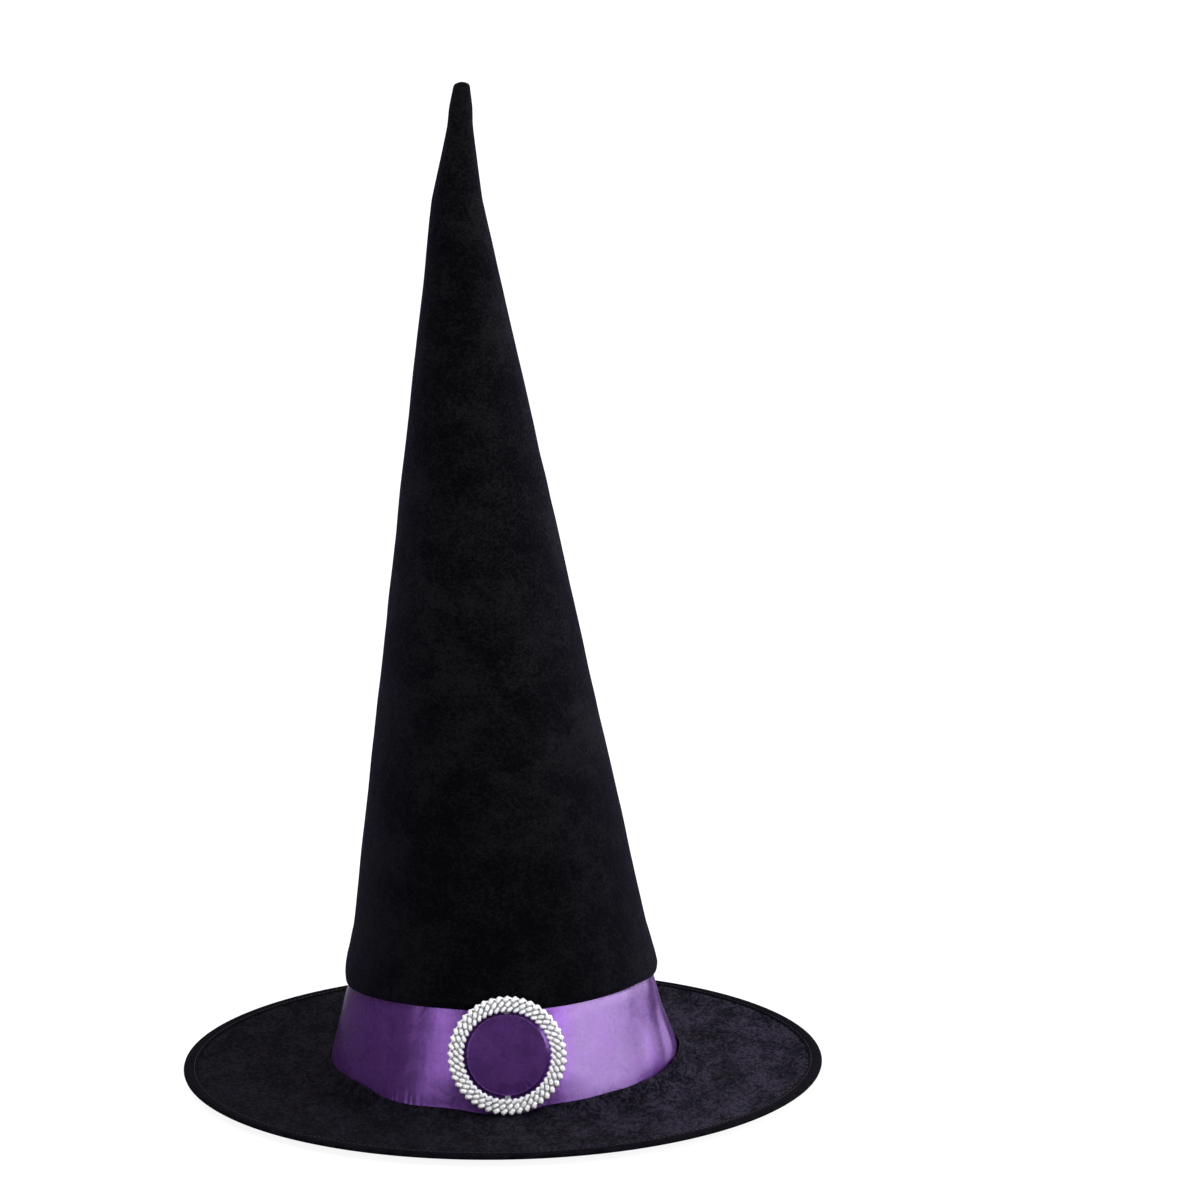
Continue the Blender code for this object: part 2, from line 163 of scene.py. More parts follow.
def cloth_coord(ob, values):
    """Second coordinate set, along and across the cloth, in metres."""
    at = ob.data.attributes.new("cloth", 'FLOAT_VECTOR', 'POINT')
    at.data.foreach_set("vector", np.asarray(values, np.float32).ravel())


def ring_faces(K, N, close_k=True):
    """Quads of K rows by N columns, closed round the columns."""
    j = np.arange(N)
    jn = (j + 1) % N
    faces = []
    for k in range(K if close_k else K - 1):
        k2 = (k + 1) % K
        faces.append(np.stack([k * N + j, k * N + jn, k2 * N + jn, k2 * N + j], 1))
    return np.concatenate(faces)


def volume(v, f):
    a, b, c, d = (v[f[:, i]] for i in range(4))
    return (np.einsum('ij,ij->i', a, np.cross(b, c)).sum()
            + np.einsum('ij,ij->i', a, np.cross(c, d)).sum()) / 6


def shell(name, P, material, N_rows=None, keep_rows=0, sharp=40.0):
    """Closed ring shell from P (K, N, 3), whose K rows go round a closed section.
    The first keep_rows rows take the shading normals in N_rows."""
    K, N = P.shape[:2]
    v = P.reshape(-1, 3)
    f = ring_faces(K, N)
    if volume(v, f) < 0:
        f = f[:, ::-1]
    normals = None
    if N_rows is not None:
        flat_n = np.zeros((K * N, 3))
        flat_n[:keep_rows * N] = N_rows[:keep_rows].reshape(-1, 3)
        row = f // N
        outer = (row.max(1) < keep_rows)
        nn = flat_n[f.reshape(-1)].reshape(-1, 4, 3)
        nn[~outer] = 0.0
        normals = nn.reshape(-1, 3).tolist()
    return build(name, v, f.tolist(), material, normals, sharp)


def surface_normals(P):
    """Outward normals of a grid of rows (upward) by columns (round)."""
    du = np.roll(P, -1, 1) - np.roll(P, 1, 1)
    dk = np.gradient(P, axis=0)
    n = np.cross(du, dk)
    n /= np.maximum(np.linalg.norm(n, axis=2, keepdims=True), 1e-12)
    return n


class Merge:
    """Collects small parts into one mesh."""

    def __init__(self):
        self.v, self.f, self.n = [], [], 0

    def add(self, verts, faces):
        self.v.append(np.asarray(verts, float))
        self.f += [[i + self.n for i in f] for f in faces]
        self.n += len(verts)

    def object(self, name, material, sharp=40.0, flat=False):
        ob = build(name, np.concatenate(self.v), self.f, material, None, sharp)
        if flat:
            ob.data.shade_flat()
        return ob


# -------------------------------------------------------------------- materials
class Nodes:
    """Short way to write a node tree."""

    def __init__(self, name):
        self.material = bpy.data.materials.new(name)
        self.material.use_nodes = True
        self.t = self.material.node_tree
        self.p = self.t.nodes["Principled BSDF"]

    def put(self, socket, value):
        if isinstance(value, bpy.types.NodeSocket):
            self.t.links.new(value, socket)
        elif isinstance(value, (tuple, list)) and len(value) == 3 and socket.type == 'RGBA':
            socket.default_value = (*value, 1.0)
        else:
            socket.default_value = value

    def node(self, kind, out=0, props=None, **inputs):
        n = self.t.nodes.new(kind)
        for k, v in (props or {}).items():
            setattr(n, k, v)
        for k, v in inputs.items():
            self.put(n.inputs[k.replace("_", " ")], v)
        return n.outputs[out]

    def rest(self, name="rest"):
        return self.node("ShaderNodeAttribute", "Vector", {"attribute_name": name})

    def where(self):
        return self.node("ShaderNodeTexCoord", "Object")

    def stretch(self, vec, scale=(1, 1, 1), turn=(0, 0, 0)):
        n = self.t.nodes.new("ShaderNodeMapping")
        self.t.links.new(vec, n.inputs["Vector"])
        n.inputs["Scale"].default_value = scale
        n.inputs["Rotation"].default_value = turn
        return n.outputs[0]

    def noise(self, vec, size, detail=3.0, rough=0.55, bend=0.0):
        return self.node("ShaderNodeTexNoise", 0, {"noise_dimensions": '3D'}, Vector=vec,
                         Scale=1.0 / size, Detail=detail, Roughness=rough, Distortion=bend)

    def cells(self, vec, size, out="Distance", kind='F1', random=1.0):
        return self.node("ShaderNodeTexVoronoi", out, {"feature": kind}, Vector=vec,
                         Scale=1.0 / size, Randomness=random)

    def wave(self, vec, size, axis='X', bend=0.0, profile='SIN'):
        # a Blender band wave repeats every 2*pi/20 units at scale 1
        return self.node("ShaderNodeTexWave", 1,
                         {"wave_type": 'BANDS', "bands_direction": axis, "wave_profile": profile},
                         Vector=vec, Scale=(2 * pi / 20) / size, Distortion=bend, Detail=0.0)

    def remap(self, value, a, b, c, d):
        n = self.t.nodes.new("ShaderNodeMapRange")
        n.interpolation_type = 'SMOOTHSTEP'
        self.t.links.new(value, n.inputs["Value"])
        for k, x in zip(("From Min", "From Max", "To Min", "To Max"), (a, b, c, d)):
            n.inputs[k].default_value = x
        return n.outputs[0]

    def math(self, op, a, b=0.5):
        n = self.t.nodes.new("ShaderNodeMath")
        n.operation = op
        self.put(n.inputs[0], a)
        self.put(n.inputs[1], b)
        return n.outputs[0]

    def mix(self, fac, a, b):
        n = self.t.nodes.new("ShaderNodeMix")
        n.data_type = 'RGBA'
        self.put(n.inputs["Factor"], fac)
        self.put([s for s in n.inputs if s.name == "A" and s.type == 'RGBA'][0], a)
        self.put([s for s in n.inputs if s.name == "B" and s.type == 'RGBA'][0], b)
        return [s for s in n.outputs if s.type == 'RGBA'][0]

    def bump(self, height, strength, distance, under=None):
        n = self.t.nodes.new("ShaderNodeBump")
        n.inputs["Strength"].default_value = strength
        n.inputs["Distance"].default_value = distance
        self.t.links.new(height, n.inputs["Height"])
        if under is not None:
            self.t.links.new(under, n.inputs["Normal"])
        return n.outputs[0]

    def set(self, **inputs):
        names = {"color": "Base Color", "rough": "Roughness", "metal": "Metallic",
                 "normal": "Normal", "sheen": "Sheen Weight", "sheen_rough": "Sheen Roughness",
                 "sheen_tint": "Sheen Tint", "specular": "Specular IOR Level", "coat": "Coat Weight",
                 "coat_rough": "Coat Roughness", "ior": "IOR", "aniso": "Anisotropic",
                 "turn": "Anisotropic Rotation"}
        for k, v in inputs.items():
            self.put(self.p.inputs[names[k]], v)
        return self.material


def velvet(name, dark, light, patch, contrast, source="rest", sheen=0.12, nap=0.0011, fleck=0.5, brightness_ramp=None,
           brush=(1.0, 1.0, 1.0), cloudy=0.33, tint=(0.62, 0.58, 0.78)):
    """Black crushed velvet: pile pushed about in patches, with a fine nap.
    The optional ramp scales the colour along one axis, from one gain to another (axis, start, end, low gain, high
    gain). On the brim this is painted light and shade: lighter to the right, where the key lamp stands, and darker to
    the left. On the crown it makes the velvet darker towards the bottom."""
    n = Nodes(name)
    at = n.rest() if source == "rest" else n.where()
    flat = n.stretch(at, brush)
    clouds = n.noise(flat, patch * 5.0, 2.0, 0.5, 0.3)
    crush = n.noise(flat, patch, 5.0, 0.66, 0.8)
    crease = n.cells(flat, patch * 0.8, "Distance", 'SMOOTH_F1')
    pile = n.noise(n.stretch(flat, (1, 1, 1), (0.4, 0.3, 0.2)), nap, 2.0, 0.7, 0.0)
    a = n.remap(crush, 0.5 - contrast, 0.5 + contrast, 0.0, 1.0)
    b = n.remap(clouds, 0.32, 0.68, 0.0, 1.0)
    c = n.remap(pile, 0.34, 0.66, 0.0, 1.0)
    s = n.math('ADD', n.math('MULTIPLY', a, 0.88 - cloudy), n.math('MULTIPLY', b, cloudy))
    s = n.math('ADD', s, n.math('MULTIPLY', n.math('SUBTRACT', c, 0.5), fleck * 0.5))
    s = n.remap(s, 0.02, 0.98, 0.0, 1.0)
    color = n.mix(s, dark, light)
    # colour scaled along one axis, with its edge blurred by the clouds: painted light and shade on the brim, darker
    # towards the bottom on the crown
    if brightness_ramp is not None:
        axis, a0, a1, low_gain, high_gain = brightness_ramp
        place = n.node("ShaderNodeSeparateXYZ", "XYZ".index(axis), None, Vector=at)
        place = n.math('ADD', place, n.math('MULTIPLY', n.math('SUBTRACT', clouds, 0.5), 0.5 * (a1 - a0)))
        gain = n.remap(place, a0, a1, low_gain, high_gain)
        color = n.node("ShaderNodeVectorMath", 0, {"operation": 'SCALE'}, Vector=color, Scale=gain)
    h = n.math('ADD', n.math('MULTIPLY', crush, 1.0), n.math('MULTIPLY', crease, 0.35))
    big = n.bump(h, 0.55, 0.0016)
    fine = n.bump(pile, 0.5, 0.00035, big)
    rough = n.remap(s, 0.0, 1.0, 0.98, 0.82)
    return n.set(color=color, rough=rough, normal=fine, sheen=sheen, sheen_rough=0.55,
                 sheen_tint=tint, specular=0.03)


# the crown's colour ramp along Z makes the velvet darker towards the bottom
VELVET = velvet("velvet_black", (0.0008, 0.0008, 0.0010), (0.0060, 0.0060, 0.0069), 0.0090, 0.24,
                sheen=0.028, brightness_ramp=('Z', 0.08, 0.34, 0.62, 0.92), nap=0.0018, fleck=1.05, brush=(1.0, 1.0, 1.25),
                cloudy=0.46, tint=(0.50, 0.45, 1.0))
# the brim's colour ramp along X is painted light and shade: lighter to the right, where the key lamp stands, darker to
# the left
BRIM_VELVET = velvet("velvet_brim", (0.0012, 0.0008, 0.0022), (0.0180, 0.0156, 0.0262), 0.0034, 0.14,
                     sheen=0.013, brightness_ramp=('X', -0.06, 0.17, 0.41, 1.48), nap=0.0014, fleck=1.15, brush=(1.0, 0.50, 1.0))


def satin_material():
    n = Nodes("satin_purple")
    at = n.rest("cloth")
    slub = n.noise(n.stretch(at, (1.0, 0.06, 1.0)), 0.0016, 3.0, 0.6)       # fine upright ribs
    cloud = n.noise(at, 0.012, 3.0, 0.55, 0.6)
    dust = n.noise(at, 0.0022, 3.0, 0.6, 0.4)
    s = n.math('ADD', n.math('MULTIPLY', slub, 0.20), n.math('MULTIPLY', cloud, 0.30))
    s = n.math('ADD', s, n.math('MULTIPLY', dust, 0.50))
    s = n.remap(s, 0.38, 0.62, 0.0, 1.0)
    color = n.mix(s, (0.108, 0.0315, 0.214), (0.153, 0.0460, 0.292))
    rough = n.remap(cloud, 0.35, 0.65, 0.25, 0.31)
    # the satin is less metallic to the right of the buckle, so its colour shows lighter and its shine whiter there:
    # painted light standing in for the key lamp on the right. Towards the far right it is more metallic again, painted
    # darker and more purple
    place = n.node("ShaderNodeSeparateXYZ", 0, None, Vector=n.rest())
    metal = n.math('ADD', n.remap(place, 0.028, 0.044, 0.66, 0.30), n.remap(place, 0.078, 0.090, 0.0, 0.34))
    b1 = n.bump(slub, 0.02, 0.0003)
    b2 = n.bump(dust, 0.02, 0.0004, b1)
    b3 = n.bump(cloud, 0.12, 0.0012, b2)
    return n.set(color=color, rough=rough, normal=b3, metal=metal, specular=1.0)


SATIN = satin_material()


def woven(name, dark, light, pitch, source="rest", sheen=0.05, strength=0.5, specular=0.12, rough=0.75):
    """Plain woven cloth, from crossing threads."""
    n = Nodes(name)
    at = n.rest() if source == "rest" else n.where()
    warp = n.wave(at, pitch, 'X', 0.4)
    weft = n.wave(at, pitch, 'Y', 0.4)
    up = n.wave(at, pitch, 'Z', 0.4)
    weave = n.math('MAXIMUM', n.math('MULTIPLY', warp, weft), n.math('MULTIPLY', weft, up))
    mottle = n.noise(at, 0.006, 3.0, 0.6, 0.3)
    slub = n.noise(at, pitch * 1.6, 2.0, 0.6)
    s = n.math('ADD', n.math('MULTIPLY', weave, 0.4), n.math('MULTIPLY', mottle, 0.6))
    color = n.mix(n.remap(s, 0.15, 0.75, 0.0, 1.0), dark, light)
    h = n.math('ADD', weave, n.math('MULTIPLY', slub, 0.8))
    b = n.bump(h, strength, 0.00025)
    return n.set(color=color, rough=n.remap(mottle, 0.3, 0.7, rough - 0.07, rough + 0.07), normal=b,
                 sheen=sheen, sheen_rough=0.5, specular=specular)


LINING = woven("lining_black", (0.0060, 0.0060, 0.0075), (0.0150, 0.0148, 0.0180), 0.0009,
               sheen=0.05, specular=0.25, rough=0.55)
UNDERSIDE = woven("underside_black", (0.0065, 0.0062, 0.0080), (0.0155, 0.0150, 0.0185), 0.0011,
                  sheen=0.04, rough=0.8)
FELT = woven("felt_core", (0.020, 0.020, 0.022), (0.045, 0.045, 0.050), 0.0022, "object",
             strength=0.8, rough=0.92)


def tape_material():
    n = Nodes("binding_tape")
    at = n.rest("cloth")
    rib = n.wave(at, 0.00075, 'X', 0.25)                     # fine ribs across the tape
    soft = n.noise(n.stretch(at, (1.0, 2.2, 1.0)), 0.009, 3.0, 0.6, 0.5)
    grain = n.noise(at, 0.0011, 2.0, 0.6)
    s = n.math('ADD', n.math('MULTIPLY', soft, 0.7), n.math('MULTIPLY', grain, 0.3))
    color = n.mix(n.remap(s, 0.38, 0.62, 0.0, 1.0), (0.0009, 0.0007, 0.0015), (0.0042, 0.0034, 0.0060))
    b = n.bump(rib, 0.25, 0.00015)
    b = n.bump(soft, 0.4, 0.0009, b)
    return n.set(color=color, rough=n.remap(soft, 0.3, 0.7, 0.66, 0.82), normal=b, sheen=0.006,
                 sheen_rough=0.5, sheen_tint=(0.6, 0.5, 0.9), specular=0.02)


TAPE = tape_material()


def grosgrain_material():
    n = Nodes("sweatband_grosgrain")
    at = n.rest("cloth")
    grain = n.noise(n.stretch(at, (1.0, 0.25, 1.0)), 0.0012, 3.0, 0.6)
    soft = n.noise(at, 0.012, 3.0, 0.6, 0.3)
    color = n.mix(n.remap(soft, 0.35, 0.65, 0.0, 1.0), (0.0075, 0.0072, 0.0095), (0.0170, 0.0160, 0.0205))
    b = n.bump(grain, 0.4, 0.0003)
    return n.set(color=color, rough=n.remap(grain, 0.3, 0.7, 0.55, 0.75), normal=b, sheen=0.05,
                 sheen_rough=0.5, specular=0.2)


GROSGRAIN = grosgrain_material()


def thread_material():
    n = Nodes("sewing_thread")
    at = n.where()
    twist = n.wave(n.stretch(at, (1, 1, 1), (0, 0, 0.6)), 0.0004, 'X', 1.0)
    fuzz = n.noise(at, 0.0009, 2.0, 0.6)
    color = n.mix(n.remap(fuzz, 0.35, 0.65, 0.0, 1.0), (0.008, 0.0075, 0.009), (0.022, 0.021, 0.024))
    return n.set(color=color, rough=n.remap(fuzz, 0.3, 0.7, 0.5, 0.7), normal=n.bump(twist, 0.4, 0.0001),
                 specular=0.2, sheen=0.05)


THREAD = thread_material()


def silver_material():
    n = Nodes("plated_silver")
    at = n.where()
    smear = n.noise(at, 0.006, 4.0, 0.6, 0.6)
    pits = n.noise(at, 0.0009, 3.0, 0.6)
    color = n.mix(n.remap(smear, 0.35, 0.65, 0.0, 1.0), (0.76, 0.76, 0.78), (0.93, 0.93, 0.95))
    return n.set(color=color, rough=n.remap(pits, 0.3, 0.7, 0.26, 0.42), metal=1.0,
                 normal=n.bump(pits, 0.15, 0.0001))


SILVER = silver_material()


def stone_material():
    n = Nodes("cut_stones")
    at = n.where()
    tint = n.cells(at, 0.0030, "Color")
    sep = n.node("ShaderNodeSeparateColor", 0, None, Color=tint)
    shade = n.remap(sep, 0.0, 1.0, 0.0, 1.0)
    glow = n.noise(at, 0.0011, 2.0, 0.6)
    warm = n.mix(shade, (0.93, 0.93, 0.96), (1.0, 0.99, 1.0))
    color = n.mix(n.remap(glow, 0.32, 0.50, 0.0, 1.0), (0.72, 0.72, 0.77), warm)
    return n.set(color=color, rough=n.remap(glow, 0.3, 0.7, 0.06, 0.14), specular=0.9,
                 coat=0.8, coat_rough=0.04)


STONE = stone_material()


def steel_material():
    n = Nodes("annealed_wire")
    at = n.where()
    drawn = n.noise(n.stretch(at, (1.0, 1.0, 0.08)), 0.0006, 3.0, 0.6)
    oxide = n.noise(at, 0.008, 4.0, 0.65, 0.4)
    color = n.mix(n.remap(oxide, 0.40, 0.66, 0.0, 1.0), (0.42, 0.42, 0.44), (0.20, 0.19, 0.19))
    return n.set(color=color, rough=n.remap(drawn, 0.3, 0.7, 0.28, 0.5), metal=1.0,
                 normal=n.bump(drawn, 0.3, 0.0001))


STEEL = steel_material()

# ------------------------------------------------------------- the crown's cloth
# columns, closer together beside the back seam
even = np.linspace(0, 2 * pi, 176, endpoint=False) + BACK + pi / 176
close = np.array([0.0, 0.004, 0.009, 0.015, 0.023, 0.033, 0.047, 0.065, 0.088, 0.115])
close = np.concatenate([-close[1:], close]) + BACK
ANG = np.array([a for a in even if abs(wrap(a - BACK)) > 0.125])
ANG = np.sort(np.concatenate([np.mod(ANG, 2 * pi), np.mod(close, 2 * pi)]))
NA = len(ANG)
COS, SIN = np.cos(ANG), np.sin(ANG)
FROM_BACK = np.array([wrap(a - BACK) for a in ANG])
FROM_FRONT = np.array([wrap(a + pi / 2) for a in ANG])


def lip_z(front):
    """Height of the velvet's lower edge: it hangs lower at the sides than in front."""
    z = round_about(front, [(-180, .0545), (-135, .0535), (-90, .0530), (-66, .0559), (-45, .0580),
                            (-30, .0590), (0, .0592), (25, .0594), (45, .0605), (60, .0608), (75, .0590),
                            (90, .0572), (135, .0555)])
    return z + np.array([0.00022 * wobble((2 * cos(f), 2 * sin(f), 0), 0.5, 3.1)
                         + 0.00014 * wobble((5 * cos(f), 5 * sin(f), 0), 0.5, 7.7)
                         for f in np.atleast_1d(front)])


LIP = lip_z(FROM_FRONT)


def unevenness(r, z, a):
    """How far the cloth stands off the true cone."""
    p = (r * cos(a), r * sin(a), z)
    amp = min(1.0, r / 0.03)
    u = 0.00050 * amp * wobble(p, 0.045, 1.7) + 0.00024 * amp * wobble(p, 0.016, 5.3)
    u += 0.00030 * amp * wobble((cos(a) * 1.4, sin(a) * 1.4, z * 5.0), 0.30, 9.1)
    return u


def seam(r, back):
    """The sewn back seam: a narrow valley between two soft ridges."""
    arc = back * r
    s = min(1.0, r / 0.02)
    return s * (-0.00085 * exp(-(arc / 0.0009) ** 2) + 0.00035 * exp(-((abs(arc) - 0.0030) / 0.0016) ** 2))


def seam_pucker(r, z, back):
    arc = abs(back * r)
    return 0.00016 * exp(-(arc / 0.007) ** 2) * sin(z / 0.0042 * 2 * pi + (1.3 if back > 0 else 0.0))


# the rolled lower edge, as (r, z) for a lip at 0.0529, up to the straight cone
ROLL = [(0.08800, 0.05420), (0.08805, 0.05330), (0.08860, 0.05285), (0.08925, 0.05310),
        (0.08978, 0.05400), (0.09010, 0.05550), (0.09032, 0.05830), (0.09030, 0.06050),
        (0.09004, 0.06330), (0.08960, 0.06600), (0.08890, 0.06930), (0.08790, 0.07300),
        (0.08660, 0.07850), (0.08500, 0.08500)]
roll = curve_through(ROLL, 0.0014)
heights = []
marks = [0.0850] + CUTS + [TIP_Z - TIP_CAP_R]
for lo, hi in zip(marks[:-1], marks[1:]):
    n = max(2, int(round((hi - lo) / 0.0023)))
    heights += list(np.linspace(lo, hi, n, endpoint=False))
cap = [TIP_Z - TIP_CAP_R * (1 - sin(t)) for t in np.linspace(0.0, radians(85.0), 9)]
ROWS = [("roll", r, z) for r, z in roll[:-1]] + [("cone", None, z) for z in heights + cap]


def crown_point_rows(rows, inset=0.0, extra=None):
    """Grid of points, one row of ANG columns for each row given."""
    P = np.zeros((len(rows), NA, 3))
    for k, (kind, r0, z0) in enumerate(rows):
        for j in range(NA):
            if kind == "roll":
                # only the underside of the roll moves with the lip
                low = 1.0 - float(smoothstep(0.0548, 0.0660, z0))
                z = z0 + (LIP[j] - 0.05285) * low
                r = r0
                fade = float(smoothstep(0.053, 0.066, z0))
            else:
                z, r, fade = z0, cone_r(z0), 1.0
            b = FROM_BACK[j]
            tip = float(smoothstep(0.0, 0.004, TIP_Z - z0)) if z0 > 0.5 else 1.0
            if z0 > 0.545:
                # stuffed fuller just below its end
                r += 0.00115 * float(smoothstep(0.545, 0.559, z0)) * float(smoothstep(TIP_Z + 0.0002, TIP_Z - 0.0026, z0))
            r += (unevenness(r, z, ANG[j]) * fade + seam(r, b) * max(fade, 0.35) + seam_pucker(r, z, b)) * tip
            if z0 > 0.548:
                # the very end is pinched flat and set over to one side
                q = float(smoothstep(0.548, 0.566, z0))
                r *= 1.0 - 0.10 * q * (SIN[j] ** 2)
            r -= inset + (extra(r, b, z) if extra else 0.0)
            r = max(r, 0.0004)
            x = lean_x(z) + r * COS[j]
            P[k, j] = (x, r * SIN[j], z)
    return P


OUT = crown_point_rows(ROWS)
OUT_N = surface_normals(OUT)
kind_roll = len(roll) - 1
z_of_row = np.array([z for _, _, z in ROWS])


def row_at(z):
    return int(np.argmin(np.abs(z_of_row - z)))


def inner_rows(k0, k1, inset=VELVET_T):
    """Rows of the cloth's inner face, from row k1 down to k0, fewer of them."""
    ks = list(range(k1, k0, -3)) + [k0]
    rows = []
    for k in ks:
        c = np.array([lean_x(float(OUT[k, :, 2].mean())), 0.0, 0.0])
        p = OUT[k].copy()
        d = p[:, :2] - c[:2]
        rad = np.linalg.norm(d, axis=1, keepdims=True)
        p[:, :2] = c[:2] + d / rad * np.maximum(rad - inset, 0.0003)
        rows.append(p)
    return np.array(rows)


velvet_pieces = []
splits = [0] + [row_at(z) for z in CUTS] + [len(ROWS) - 1]
for i in range(len(splits) - 1):
    k0, k1 = splits[i], splits[i + 1]
    outer = OUT[k0:k1 + 1]
    if i == 0:
        # inner face of the first piece starts just above the rolled edge
        first = next(k for k in range(kind_roll) if ROWS[k][2] > 0.0546 and k > 3)
        inner = inner_rows(first, k1)
        P = np.concatenate([outer, inner])
    elif i == len(splits) - 2:
        top = row_at(0.5640)
        inner = inner_rows(k0, top)
        P = np.concatenate([outer, inner])
    else:
        P = np.concatenate([outer, inner_rows(k0, k1)])
    if i == len(splits) - 2:
        # the tip's inner face closes on itself, so the two ends are joined by small caps
        K, N = P.shape[:2]
        v = P.reshape(-1, 3)
        no = len(outer)
        f = ring_faces(K, N, close_k=False)
        row = f[:, 0] // N
        f = f[row != no - 1]
        f = f.tolist()
        base = np.arange(N)
        bottom_in = (K - 1) * N
        f += [[int(j), int((j + 1) % N), int(bottom_in + (j + 1) % N), int(bottom_in + j)][::-1] for j in base]
        f.append([int((no - 1) * N + j) for j in base])
        f.append([int(no * N + j) for j in base][::-1])
        ob = build("crown_velvet_%d_cloth" % i, v, f, VELVET, None, 40.0)
        bm = bmesh.new()
        bm.from_mesh(ob.data)
        bmesh.ops.recalc_face_normals(bm, faces=bm.faces[:])
        bm.to_mesh(ob.data)
        bm.free()
    else:
        ob = shell("crown_velvet_%d_cloth" % i, P, VELVET, OUT_N[k0:k1 + 1], k1 + 1 - k0)
    velvet_pieces.append(ob)

for i, ob in enumerate(velvet_pieces):
    if i == 0:
        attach(ob, BODIES[0])
        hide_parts("crown_base_velvet")
    elif i == len(velvet_pieces) - 1:
        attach(ob, "crown_tip")
        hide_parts("crown_tip_velvet")
    else:
        lo, hi = CUTS[i - 1], CUTS[i]
        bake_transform(ob)
        names = ["crown_fold_%d" % i]
        if i <= 8:
            names.append("crown_velvet_%d" % i)
        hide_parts(*names)

# ------------------------------------------------------------------- the lining
LIN_TOP = 0.4360


def lining_r(z):
    """Outer face of the lining: inside the collar, then inside the velvet."""
    o = VELVET_T + 0.0003
    pts = [(WALL_Z0, WALL_R0 - o), (WALL_Z1, WALL_R1 - o), (0.0620, WALL_R1 - o),
           (0.0850, cone_r(0.085) - o), (0.6, cone_r(0.55) - o)]
    if z >= 0.085:
        return cone_r(z) - o
    return float(np.interp(z, [p[0] for p in pts], [p[1] for p in pts]))


def casing(r, back, z):
    """The lining stands in round the wire that runs up the back seam."""
    arc = back * max(r, 0.01)
    return 0.0037 * exp(-(arc / 0.0034) ** 2) * float(smoothstep(0.070, 0.092, z))


lin_marks = [WALL_Z0, 0.0200, 0.0360, WALL_Z1, 0.0620, 0.0850] + CUTS[:6] + [LIN_TOP]
lin_rows = []
for lo, hi in zip(lin_marks[:-1], lin_marks[1:]):
    n = max(2, int(round((hi - lo) / 0.0040)))
    lin_rows += list(np.linspace(lo, hi, n, endpoint=False))
lin_rows.append(LIN_TOP)


def lining_grid(thick):
    P = np.zeros((len(lin_rows), NA, 3))
    for k, z in enumerate(lin_rows):
        for j in range(NA):
            r = lining_r(z)
            a, b = ANG[j], FROM_BACK[j]
            if z >= 0.085:
                u = unevenness(cone_r(z), z, a) + seam(cone_r(z), b)
            else:
                u = 0.0
            u *= float(smoothstep(0.085, 0.11, z))
            r -= 0.0007 * exp(-((z - 0.0880) / 0.0070) ** 2)
            r += min(u, 0.0006) - casing(r, b, z) - thick
            if thick > 0:
                # soft upright creases on the side that shows
                crease = 0.5 + 0.5 * wobble((cos(a) * 3.0, sin(a) * 3.0, z * 6.0), 0.35, 2.2)
                r -= 0.0010 * crease * float(smoothstep(0.045, 0.075, z)) * min(1.0, r / 0.04)
            P[k, j] = (lean_x(z) + r * COS[j], r * SIN[j], z)
    return P


LIN_OUT, LIN_IN = lining_grid(0.0), lining_grid(LINING_T)
lin_n = surface_normals(LIN_IN) * -1.0
lin_z = np.array(lin_rows)
lin_cut = [0] + [int(np.argmin(np.abs(lin_z - z))) for z in CUTS[:6]] + [len(lin_rows) - 1]
for i in range(7):
    k0, k1 = lin_cut[i], lin_cut[i + 1]
    inner = LIN_IN[k0:k1 + 1]
    outer = LIN_OUT[k0:k1 + 1][::-1]
    if i == 6:
        # a small gathered dome shuts the lining off at the top
        centre = np.array([lean_x(LIN_TOP), 0.0, LIN_TOP])
        dome_in, dome_out = [], []
        for t in np.linspace(0.12, 1.0, 8):
            for thick, store in ((0.0, dome_out), (LINING_T, dome_in)):
                p = LIN_OUT[-1].copy() if thick == 0 else LIN_IN[-1].copy()
                flat = (p - centre) * (1 - t * 0.985)
                gather = np.array([0.0005 * sin(22 * a) * (1 - abs(2 * t - 1)) for a in ANG])
                flat[:, 2] += 0.0060 * sin(t * pi / 2) - thick * 0.8 + gather
                store.append(centre + flat)
        P = np.concatenate([inner, np.array(dome_in)])
        Q = np.concatenate([LIN_OUT[k0:k1 + 1], np.array(dome_out)])[::-1]
        all_rows = np.concatenate([P, Q])
        K, N = all_rows.shape[:2]
        f = ring_faces(K, N, close_k=True)
        row = f[:, 0] // N
        f = f[row != len(P) - 1].tolist()
        f.append([int((len(P) - 1) * N + j) for j in range(N)])
        f.append([int(len(P) * N + j) for j in range(N)])
        ob = build("crown_lining_%d_cloth" % i, all_rows.reshape(-1, 3), f, LINING, None, 50.0)
        bm = bmesh.new()
        bm.from_mesh(ob.data)
        bmesh.ops.recalc_face_normals(bm, faces=bm.faces[:])
        bm.to_mesh(ob.data)
        bm.free()
    else:
        ob = shell("crown_lining_%d_cloth" % i, np.concatenate([inner, outer]), LINING,
                   lin_n[k0:k1 + 1], k1 + 1 - k0)
    if i == 0:
        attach(ob, BODIES[0])
        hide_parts("crown_base_lining")
    elif i == 6:
        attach(ob, BODIES[5])
        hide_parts("crown_lining_5")
    else:
        lo, hi = CUTS[i - 1], CUTS[i]
        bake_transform(ob)
        if i <= 4:
            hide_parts("crown_lining_%d" % i)


